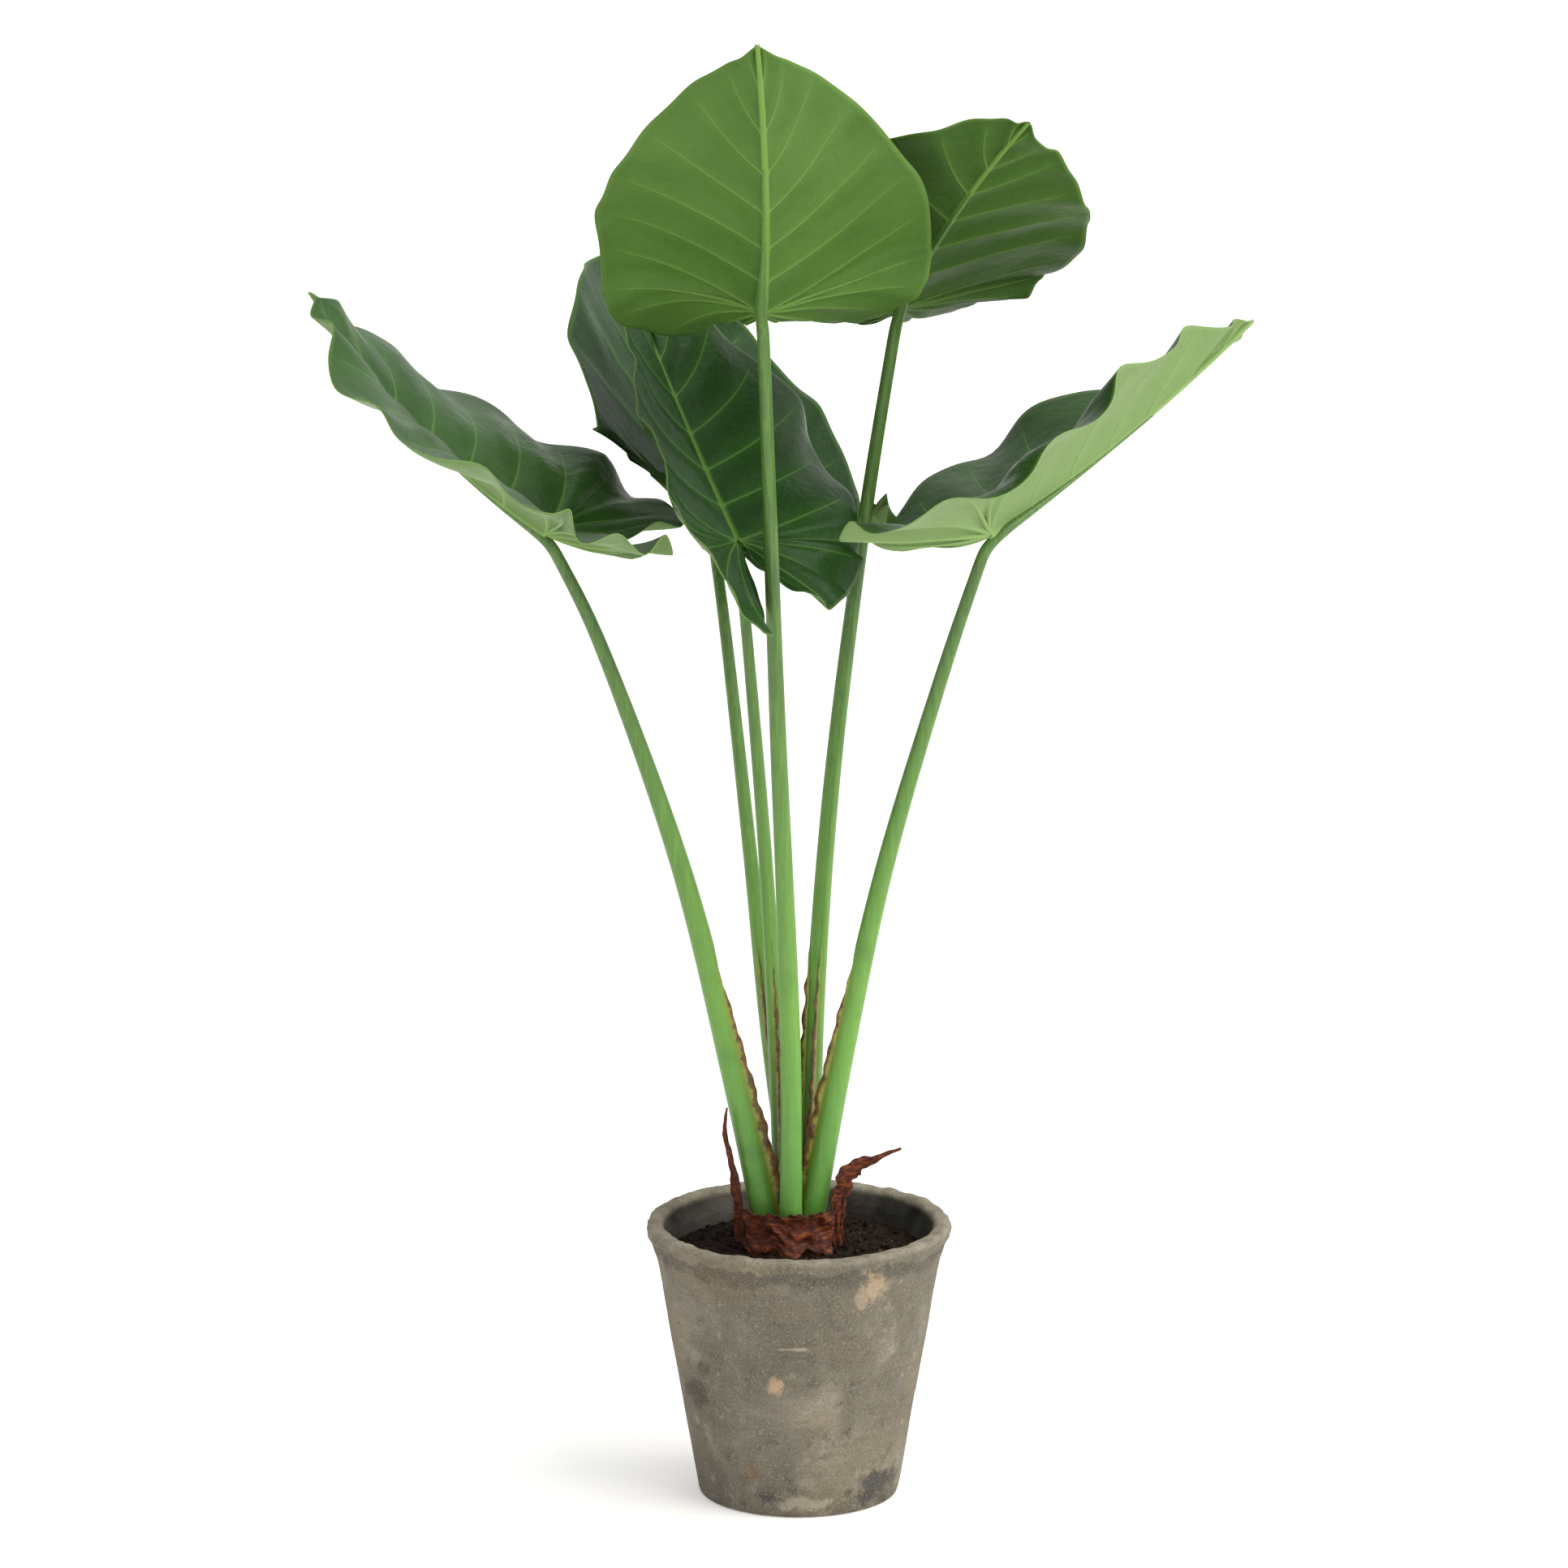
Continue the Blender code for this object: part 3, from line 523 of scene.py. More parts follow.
def sheath_material(sheath):
    """Dried papery leaf sheath: rust brown, with dark fibres and a faint sheen on its folds."""
    material, tree, shader, place = new_material("dried papery sheath", 0.62, 0.4)
    slant = node(tree, "Mapping", {"Vector": place, "Rotation": (0.5, 0.6, 0.3), "Scale": (0.30, 0.5, 1.0)})
    fibres = node(
        tree, "TexNoise",
        {0: slant, "Scale": LUMP / 0.0022, "Detail": 5.0, "Roughness": 0.7, "Distortion": 0.6},
    )
    patches = node(tree, "TexNoise", {0: place, "Scale": LUMP / 0.009, "Detail": 3.0, "Roughness": 0.6})
    edge = node(tree, "Attribute", out="Fac", attribute_name="edge")
    base = node(
        tree, "ValToRGB", (fibres,),
        stops=((0.36, sheath.dark), (0.50, "#56240E"), (0.60, sheath.colour), (0.74, "#B06A2C")),
    )
    layers = ((patches, 0.50, 0.72, 0.75, "#3A150D"), (edge, 0.55, 1.0, 0.55, "#2B110A"))
    colour = layered(tree, base, layers)
    surfaced(tree, shader, colour, [(fibres, 0.0011)])
    return material


def deselect_all():
    if bpy.context.object and bpy.context.object.mode != "OBJECT":
        bpy.ops.object.mode_set(mode="OBJECT")
    bpy.ops.object.select_all(action="DESELECT")


def started(name):
    """Names the primitive that was just added, and returns it."""
    piece = bpy.context.object
    piece.name = piece.data.name = name
    return piece


def finished(piece, materials, replaced):
    """Gives a piece its finish and its body, hides the CAD part it stands for, and applies its modifiers."""
    for material in materials:
        piece.data.materials.append(material)
    apply_modifiers(piece)
    for face in piece.data.polygons:
        face.use_smooth = True
    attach(piece, "root")
    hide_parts(replaced)
    piece.select_set(False)


def apply_modifiers(piece):
    bpy.context.view_layer.objects.active = piece
    for modifier in list(piece.modifiers):
        bpy.ops.object.modifier_apply(modifier=modifier.name)


def vertex_places(piece):
    places = np.empty(len(piece.data.vertices) * 3)
    piece.data.vertices.foreach_get("co", places)
    return places.reshape(-1, 3)


def set_places(piece, places):
    piece.data.vertices.foreach_set("co", np.asarray(places, float).ravel())
    piece.data.update()


def write_attribute(piece, name, values):
    attribute = piece.data.attributes.new(name, "FLOAT", "POINT")
    attribute.data.foreach_set("value", np.asarray(values, np.float32))


def displace(piece, name, size, depth, group="", contrast=1.0, middle=0.5):
    """Moves a piece's skin along its normals by a noise of that size and depth in metres."""
    texture = bpy.data.textures.new(name, "CLOUDS")
    texture.noise_scale = size
    texture.contrast = contrast
    modifier = piece.modifiers.new(name, "DISPLACE")
    modifier.texture = texture
    modifier.strength = depth
    modifier.mid_level = middle
    modifier.vertex_group = group


def grouped(piece, name, weights):
    group = piece.vertex_groups.new(name=name)
    for index, weight in enumerate(weights):
        if weight > 0:
            group.add([index], float(weight), "REPLACE")


def even_profile(corners, step):
    """The corners of a profile with points added at most a step apart."""
    points = [corners[0]]
    for start, end in zip(corners, corners[1:]):
        length = ((end[0] - start[0]) ** 2 + (end[1] - start[1]) ** 2) ** 0.5
        count = max(1, int(length / step))
        points += [
            (start[0] + (end[0] - start[0]) * part / count, start[1] + (end[1] - start[1]) * part / count)
            for part in range(1, count + 1)
        ]
    return points


def thrown(name, profile, segments, centre=(0.0, 0.0)):
    """A solid of revolution: a filled circle whose edge is extruded ring by ring and closed at its end."""
    deselect_all()
    radius, height = profile[0]
    bpy.ops.mesh.primitive_circle_add(
        vertices=segments, radius=radius, fill_type="TRIFAN", location=(*centre, height)
    )
    piece = started(name)
    bpy.ops.object.transform_apply(location=True, rotation=False, scale=False)
    bpy.ops.object.mode_set(mode="EDIT")
    bpy.ops.mesh.select_mode(type="EDGE")
    bpy.ops.mesh.select_all(action="SELECT")
    bpy.ops.mesh.region_to_loop()
    for new_radius, new_height in profile[1:]:
        bpy.ops.mesh.extrude_region_move(
            TRANSFORM_OT_translate={"value": (0.0, 0.0, new_height - height)}
        )
        ratio = new_radius / radius
        bpy.ops.transform.resize(value=(ratio, ratio, 1.0), center_override=(*centre, new_height))
        radius, height = new_radius, new_height
    bpy.ops.mesh.select_mode(type="VERT")
    bpy.ops.mesh.merge(type="CENTER")
    bpy.ops.mesh.select_all(action="SELECT")
    bpy.ops.mesh.normals_make_consistent(inside=False)
    bpy.ops.object.mode_set(mode="OBJECT")
    return piece


def well_radius(height, pot):
    """The radius of the pot's inner wall at a height."""
    share = (height - WELL_FLOOR) / (pot.height - MOUTH_DROP - WELL_FLOOR)
    return WELL_RADIUS + (MOUTH_RADIUS - WELL_RADIUS) * share


class BuildPot(bpy.types.Operator):
    """Throws the clay pot, chips its rim and drills its drainage holes"""

    bl_idname = "alocasia.pot"
    bl_label = "Clay pot"

    def execute(self, context):
        pot = context.scene.alocasia_pot
        rim, top = pot.rim_radius, pot.height
        corners = (
            (0.02, WELL_FLOOR), (WELL_RADIUS, WELL_FLOOR), (MOUTH_RADIUS, top - MOUTH_DROP),
            (MOUTH_RADIUS + 0.002, top - 0.001), (MOUTH_RADIUS + 0.005, top), (rim - 0.003, top),
            (rim - 0.0005, top - 0.002), (rim, top - 0.005), (rim - 0.0005, top - 0.010),
            (rim - 0.0035, top - 0.015), (rim - 0.0055, top - 0.022), (rim - 0.0078, top - 0.029),
            (NECK_RADIUS, NECK_HEIGHT), (pot.foot_radius, 0.004), (pot.foot_radius - 0.001, 0.001),
            (pot.foot_radius - 0.004, 0.0), (0.02, 0.0), (0.004, 0.0),
        )
        piece = thrown("weathered_pot", even_profile(corners, 0.0022), 288)
        places = vertex_places(piece)
        radii = np.hypot(places[:, 0], places[:, 1])
        heights = places[:, 2]
        walls = (radii > WELL_RADIUS - 0.002) & (heights > 0.006)
        grouped(piece, "walls", walls * 1.0)
        grouped(piece, "rim", (heights > top - 0.006) * 1.0)
        displace(piece, "Wobble", 0.055, pot.wobble, "walls")
        displace(piece, "Pitting", 0.0060, 0.0004, "walls")
        displace(piece, "Chips", 0.013, -0.0013, "rim", contrast=2.4, middle=0.80)
        apply_modifiers(piece)
        inner = WELL_RADIUS + (MOUTH_RADIUS - WELL_RADIUS) * (heights - WELL_FLOOR) / (top - WELL_FLOOR)
        # Marks the inside of the well, where the clay finish paints shade.
        write_attribute(piece, "inside", (radii < inner + 0.0025) & (heights < top - 0.002))
        write_attribute(piece, "worn", np.clip((heights - (top - 0.0050)) / 0.004, 0, 1))
        self.drill(piece)
        finished(piece, [clay_material(pot)], "clay_pot")
        return {"FINISHED"}

    def drill(self, piece):
        deselect_all()
        drills = []
        for number in range(DRAIN_COUNT):
            turn = tau * number / DRAIN_COUNT
            bpy.ops.mesh.primitive_cylinder_add(
                vertices=32, radius=DRAIN_RADIUS, depth=3 * WELL_FLOOR,
                location=(DRAIN_CIRCLE * cos(turn), DRAIN_CIRCLE * sin(turn), WELL_FLOOR / 2),
            )
            drills.append(started(f"drill_{number}"))
        for drill in drills:
            drill.select_set(True)
        bpy.ops.object.join()
        cutter = bpy.context.object
        cut = piece.modifiers.new("Drains", "BOOLEAN")
        cut.operation = "DIFFERENCE"
        cut.object = cutter
        apply_modifiers(piece)
        bpy.data.objects.remove(cutter, do_unlink=True)


class BuildSoil(bpy.types.Operator):
    """Fills the pot with crumbly compost"""

    bl_idname = "alocasia.soil"
    bl_label = "Compost"

    def execute(self, context):
        pot, soil = context.scene.alocasia_pot, context.scene.alocasia_soil
        edge = well_radius(SOIL_EDGE, pot) - 0.0004
        corners = (
            (0.02, SOIL_EDGE - 0.030), (well_radius(SOIL_EDGE - 0.030, pot) - 0.0006, SOIL_EDGE - 0.030),
            (edge, SOIL_EDGE), (0.092, SOIL_CROWN - 0.003), (CROWN_RADIUS, SOIL_CROWN),
            (0.046, SOIL_CROWN), (0.024, SOIL_CROWN - 0.006), (0.003, SOIL_CROWN - 0.008),
        )
        bed = thrown("compost_bed", even_profile(corners, 0.0013), 300)
        places = vertex_places(bed)
        radii = np.hypot(places[:, 0], places[:, 1])
        top = (places[:, 2] > SOIL_EDGE - 0.001) & (radii < edge - 0.0015)
        grouped(bed, "top", top * 1.0)
        displace(bed, "Lumps", 0.016, 0.008, "top", middle=0.55)
        displace(bed, "Crumb", 0.0045, 0.0042, "top", middle=0.55)
        apply_modifiers(bed)
        deselect_all()
        bpy.ops.mesh.primitive_ico_sphere_add(subdivisions=2, radius=1.0, location=(0, 0, 0))
        lump = started("crumb")
        places = vertex_places(lump)
        knobs = 1 + 0.28 * wander(places, 1.1, 5)[:, None] + 0.14 * wander(places, 0.5, 6)[:, None]
        set_places(lump, places * knobs)
        chance = np.random.default_rng(11)
        crumbs = []
        for _ in range(soil.crumbs):
            radius = (0.034**2 + (0.100**2 - 0.034**2) * chance.random()) ** 0.5
            turn = tau * chance.random()
            spot = Vector((radius * cos(turn), radius * sin(turn), 0.3))
            hit, place, _, _ = bed.ray_cast(spot, Vector((0, 0, -1)))
            size = soil.crumb_size * (0.22 + 0.78 * chance.random() ** 2.6)
            shape = size * chance.uniform(0.6, 1.1, 3)
            crumb = lump.copy()
            crumb.data = lump.data.copy()
            context.scene.collection.objects.link(crumb)
            spun = vertex_places(crumb) * shape
            angle = chance.uniform(0, tau)
            x = spun[:, 0] * cos(angle) - spun[:, 2] * sin(angle) + place.x
            z = spun[:, 0] * sin(angle) + spun[:, 2] * cos(angle) + place.z + 0.2 * size
            set_places(crumb, np.stack((x, spun[:, 1] + place.y, z), -1))
            crumbs.append(crumb)
        bpy.data.objects.remove(lump, do_unlink=True)
        deselect_all()
        for crumb in crumbs:
            crumb.select_set(True)
        bed.select_set(True)
        context.view_layer.objects.active = bed
        bpy.ops.object.join()
        finished(bed, [compost_material(soil)], "potting_soil")
        return {"FINISHED"}


class BuildStemBase(bpy.types.Operator):
    """Shapes the corky stem base that the stalks grow from"""

    bl_idname = "alocasia.stem_base"
    bl_label = "Stem base"

    def execute(self, context):
        corners = (
            (0.006, CORM_FOOT), (CORM_RADIUS - 0.017, CORM_FOOT), (CORM_RADIUS - 0.007, CORM_FOOT + 0.012),
            (CORM_RADIUS, CORM_TOP - 0.035), (CORM_RADIUS + 0.001, CORM_TOP - 0.014),
            (CORM_RADIUS - 0.0005, CORM_TOP - 0.002), (CORM_RADIUS - 0.003, CORM_TOP + 0.006),
            (CORM_RADIUS - 0.009, CORM_TOP + 0.013), (CORM_RADIUS - 0.020, CORM_TOP + 0.018),
            (0.004, CORM_TOP + 0.021),
        )
        piece = thrown("stem_base", even_profile(corners, 0.0016), 128, CORM_CENTRE[:2])
        displace(piece, "Swellings", 0.014, 0.0028)
        displace(piece, "Cork", 0.0035, 0.0010)
        apply_modifiers(piece)
        finished(piece, [stem_base_material()], "corm")
        return {"FINISHED"}


def wander(places, size, seed):
    """A smooth random height at each place, from about -1 to 1, that changes over that size in metres."""
    chance = np.random.default_rng(seed)
    total = np.zeros(len(places))
    for _ in range(9):
        way = chance.normal(size=3)
        way /= np.linalg.norm(way)
        total += np.sin(places @ way * tau / (size * chance.uniform(0.8, 2.0)) + chance.uniform(0, tau))
    return total / 3.2


def eased(low, high, value):
    """A smooth step from 0 at low to 1 at high."""
    part = np.clip((value - low) / (high - low), 0, 1)
    return part * part * (3 - 2 * part)


def curve_through(points, count):
    """A Catmull-Rom curve through the points, read at even steps."""
    points = np.array(points, float)
    ends = (2 * points[:1] - points[1:2], 2 * points[-1:] - points[-2:-1])
    knots = np.vstack((ends[0], points, ends[1]))
    place = np.linspace(0, len(points) - 1, count)
    start = np.minimum(place.astype(int), len(points) - 2)
    part = (place - start)[:, None]
    a, b, c, d = (knots[start + step] for step in range(4))
    slope = c - a
    bend = 2 * a - 5 * b + 4 * c - d
    twist = 3 * b - a - 3 * c + d
    return b + 0.5 * (slope * part + bend * part**2 + twist * part**3)


def turned(vector, axis, angle):
    """The vector turned about a unit axis."""
    along = axis * (axis @ vector) * (1 - cos(angle))
    return vector * cos(angle) + np.cross(axis, vector) * sin(angle) + along


def blade_axes(leaf):
    """Unit vectors at the stalk: along the midrib, up from the upper face, and to the right."""
    heading, rise, roll = (radians(leaf[key]) for key in ("heading", "rise", "roll"))
    along = np.array((cos(heading) * cos(rise), sin(heading) * cos(rise), sin(rise)))
    level_up = np.array((-cos(heading) * sin(rise), -sin(heading) * sin(rise), cos(rise)))
    up = level_up * cos(roll) + np.cross(along, level_up) * sin(roll)
    return along, up, np.cross(along, up)


def bent_line(axes, length, arch, sweep, twist, steps=24):
    """A line that bends evenly: its distances, and the place and three axes at each."""
    along, up, right = axes
    place = np.zeros(3)
    stations = [(0.0, place, along, up, right)]
    for step in range(1, steps + 1):
        new_along = turned(along, right, -radians(arch) / steps)
        up = turned(up, right, -radians(arch) / steps)
        new_along = turned(new_along, up, -radians(sweep) / steps)
        up = turned(up, new_along, radians(twist) / steps)
        right = turned(turned(right, up, -radians(sweep) / steps), new_along, radians(twist) / steps)
        place = place + (along + new_along) * length / steps / 2
        along = new_along
        stations.append((step * length / steps, place, along, up, right))
    return stations


def read_line(stations, distance):
    """The place, up and right axes at each distance along a bent line."""
    known = np.array([station[0] for station in stations])
    read = []
    for item in (1, 3, 4):
        values = np.array([station[item] for station in stations])
        read.append(np.stack([np.interp(distance, known, values[:, axis]) for axis in range(3)], -1))
    return read


def vein_field(leaf, across, round_edge):
    """How near each point is to a side vein, a softer reach of the same that carries painted light along the
    vein, and how midway it is.
    """
    stops = np.array((0.0, *SIDE_VEINS, 1.0))
    index = np.clip(np.searchsorted(stops, round_edge, side="right") - 1, 0, len(stops) - 2)
    low, high = stops[index], stops[index + 1]
    front = round_edge < KNEE + 0.001
    spread = np.where(front, leaf["length"] / KNEE * (1 - across) + 0.85 * across, 0.45 * across + 0.004)
    to_low = np.where(index == 0, 9.0, (round_edge - low) * spread)
    to_high = np.where(index == len(stops) - 2, 9.0, (high - round_edge) * spread)
    near = np.minimum(to_low, to_high)
    rib = np.abs(np.where(to_low < to_high, low, high) - LOBE_RIB) < 0.001
    wide = np.where(rib, RIB_REACH, VEIN_REACH) * (1 - 0.62 * across)
    fade = eased(1.02, 0.80, across) * np.where(rib, 1.0, 0.85)
    vein = np.exp(-((near / wide) ** 2)) * fade
    # A wider band along each vein, which the skins paint lighter: painted light for the quilting.
    halo = np.exp(-near / HALO_REACH) * fade
    midway = np.sin(np.pi * np.clip((round_edge - low) / (high - low), 0, 1)) ** 2
    return vein, halo, midway


def half_blade(leaf, half, across, round_edge, quilt):
    """Points and marks of one half. Across runs from midrib to edge, round_edge from tip to notch."""
    side = (-1, 1)[half]
    length, lobe, width = leaf["length"], leaf["lobe"][half], leaf["width"][half]
    outline = curve_through(HALF_OUTLINE, 1301)
    share = np.linspace(0, 1, len(outline))
    scallop = 0.006 * np.sin(tau * (11 * round_edge + leaf["phase"][half])) * eased(0, 0.1, round_edge)
    edge_x = np.interp(round_edge, share, outline[:, 0]) * (1 + scallop)
    edge_y = np.interp(round_edge, share, outline[:, 1])
    edge_x = edge_x * width * (1 + leaf["shoulder"][half] * eased(0.1, 0.65, edge_y))
    edge_y = edge_y * np.where(edge_y > 0, length, lobe)
    root_y = length * np.clip(1 - round_edge / KNEE, 0, 1)
    bow = eased(0, 0.1, round_edge) * (1 - eased(KNEE, KNEE + 0.2, round_edge))
    x = across * edge_x
    y = root_y + (edge_y - root_y) * across - 0.12 * length * across * (1 - across) * bow

    axes = blade_axes(leaf)
    front = bent_line(axes, length, leaf["arch"], leaf["sweep"], leaf["twist"])
    back_axes = (-axes[0], axes[1], axes[2])
    back = bent_line(back_axes, lobe, leaf["lobe_arch"][half], side * leaf["lobe_splay"][half], 0)
    ahead = read_line(front, np.clip(y, 0, None))
    behind = read_line(back, np.clip(-y, 0, None))
    place, up, right = (np.where(y[:, None] < 0, b, a) for a, b in zip(ahead, behind))

    tip_part, lobe_part = np.clip(y / length, 0, 1), np.clip(-y / lobe, 0, 1)
    base = leaf["fold"][half]
    fold = base + (leaf["fold_tip"][half] - base) * tip_part
    fold = fold + (leaf["fold_lobe"][half] - base) * lobe_part
    steps = 12
    level, lift = np.zeros_like(x), np.zeros_like(x)
    for step in range(steps):
        part = (step + 0.5) / steps * x / width
        angle = np.radians(fold + leaf["curl"][half] * part + leaf["rim"][half] * part**3)
        level += np.cos(angle) * x / steps
        lift += np.sin(angle) * x / steps
    part = x / width
    angle = np.radians(fold + leaf["curl"][half] * part + leaf["rim"][half] * part**3)[:, None]
    normal = up * np.cos(angle) - side * right * np.sin(angle)
    quiet = eased(0, 0.1, round_edge) * eased(0, 0.38, 1 - round_edge)
    wave = np.sin(tau * (leaf["waves"][half] * round_edge + leaf["phase"][half]))
    wave = wave * leaf["ruffle"][half] * across**2.2
    wave += 0.0011 * across**4 * np.sin(tau * (17.3 * round_edge + 3 * leaf["phase"][half]))

    vein, halo, midway = vein_field(leaf, across, round_edge)
    to_midrib = np.hypot(x, np.clip(-y, 0, None))
    to_tip = np.clip(1 - round_edge / KNEE, 0, 1)
    midrib = np.exp(-((to_midrib / (MIDRIB_REACH - 0.0022 * to_tip)) ** 2))
    midrib = midrib * eased(KNEE + 0.25, KNEE, round_edge)
    relief = quilt * midway * eased(0.02, 0.25, across) * eased(1.0, 0.75, across)
    relief += wave * quiet - 0.0008 * midrib - 0.0006 * vein * (1 - across) * (1 - midrib)
    points = leaf["joint"] + place + side * right * level[:, None] + up * lift[:, None]
    relief += 0.0011 * across * wander(points, 0.055, int(length * 1000))
    points = points + normal * relief[:, None]
    return points, midrib, vein, halo, normal


def blade_field(leaf, u, round_edge, quilt):
    """Points and marks of the sheet for u from -1 (left edge) to 1 (right edge)."""
    across = np.abs(u)
    left = half_blade(leaf, 0, across, round_edge, quilt)
    right = half_blade(leaf, 1, across, round_edge, quilt)
    seam = np.where(round_edge > 0.9999, 0.5, np.where(u < 0, 0.0, 1.0))
    blended = []
    for a, b in zip(left, right):
        weight = seam[:, None] if a.ndim == 2 else seam
        blended.append(a * (1 - weight) + b * weight)
    return blended


class BuildBlade(bpy.types.Operator):
    """Grows one leaf blade: a quilted, ruffled sheet whose veins stand out underneath"""

    bl_idname = "alocasia.blade"
    bl_label = "Leaf blade"

    letter: StringProperty(name="Leaf", description="Which leaf to build, a to f", default="a")

    def execute(self, context):
        settings = context.scene.alocasia_leaf
        leaf = LEAVES[self.letter]
        stops = np.array((0.0, *SIDE_VEINS, 1.0))
        deselect_all()
        rows = ROWS_PER_VEIN * (len(stops) - 1)
        bpy.ops.mesh.primitive_grid_add(x_subdivisions=BLADE_COLUMNS, y_subdivisions=rows, size=2)
        piece = started(f"leaf_{self.letter}")
        grid = vertex_places(piece)
        u = np.sign(grid[:, 0]) * np.abs(grid[:, 0]) ** 1.45
        # Rows crowd together at each vein, so that its ridge is sharp.
        count = (1 - grid[:, 1]) / 2 * (len(stops) - 1)
        start = np.minimum(count.astype(int), len(stops) - 2)
        part = count - start
        part = part - 0.80 * np.sin(tau * part) / tau
        round_edge = np.clip(stops[start] + part * (stops[start + 1] - stops[start]), 0, 1)
        points, midrib, vein, halo, _ = blade_field(leaf, u, round_edge, settings.quilt)
        set_places(piece, points)
        across = np.abs(u)
        to_tip = np.clip(1 - round_edge / KNEE, 0, 1)
        wall = settings.wall + MIDRIB_THICKER * midrib * (1 - 0.80 * to_tip)
        wall += VEIN_THICKER * vein * (1 - 0.7 * across) * (1 - midrib)
        write_attribute(piece, "vein", np.clip(0.9 * vein + midrib, 0, 1))
        # The halo carries painted light along the veins.
        write_attribute(piece, "halo", np.clip(halo + midrib, 0, 1))
        write_attribute(piece, "edge", eased(0.955, 1.0, across))
        # tone is partly the leaf's age and partly painted light and shade for how it is lit.
        write_attribute(piece, "tone", np.full(len(u), leaf["tone"]))
        # bloom is partly wax and partly painted light on the underside.
        write_attribute(piece, "bloom", np.full(len(u), leaf["bloom"]))
        grouped(piece, "wall", wall / BLADE_THICKEST)
        bpy.ops.object.mode_set(mode="EDIT")
        bpy.ops.mesh.select_all(action="SELECT")
        bpy.ops.mesh.remove_doubles(threshold=0.00003)
        bpy.ops.object.mode_set(mode="OBJECT")
        solidify = piece.modifiers.new("Wall", "SOLIDIFY")
        solidify.thickness = BLADE_THICKEST
        solidify.offset = -1.0
        solidify.vertex_group = "wall"
        solidify.thickness_vertex_group = 0.0
        solidify.material_offset = 1
        solidify.material_offset_rim = 1
        skins = [bpy.data.materials.get(name) for name in (UPPER_SKIN, LOWER_SKIN)]
        if None in skins:
            skins = blade_materials(settings)
        finished(piece, skins, f"blade_{self.letter}")
        return {"FINISHED"}


WING_ANGLE = radians(52)
WING_STEPS = 4


def stalk_section():
    """Round a stalk: the angle from its inner side, how far out on a wing, and the wing's face and side."""
    outer = [(angle, 0.0, 1, 0) for angle in np.linspace(WING_ANGLE, tau - WING_ANGLE, 27)]
    far_out = [(tau - WING_ANGLE, step / WING_STEPS, 1, -1) for step in range(1, WING_STEPS + 1)]
    far_in = [(tau - WING_ANGLE, step / WING_STEPS, 0, -1) for step in range(WING_STEPS, -1, -1)]
    groove = [(angle, 0.0, 0, 0) for angle in np.linspace(-WING_ANGLE, WING_ANGLE, 9)[1:-1]]
    near_in = [(WING_ANGLE, step / WING_STEPS, 0, 1) for step in range(WING_STEPS + 1)]
    near_out = [(WING_ANGLE, step / WING_STEPS, 1, 1) for step in range(WING_STEPS, 0, -1)]
    section = np.array(outer + far_out + far_in + groove + near_in + near_out)
    return np.vstack((section, section[:1]))


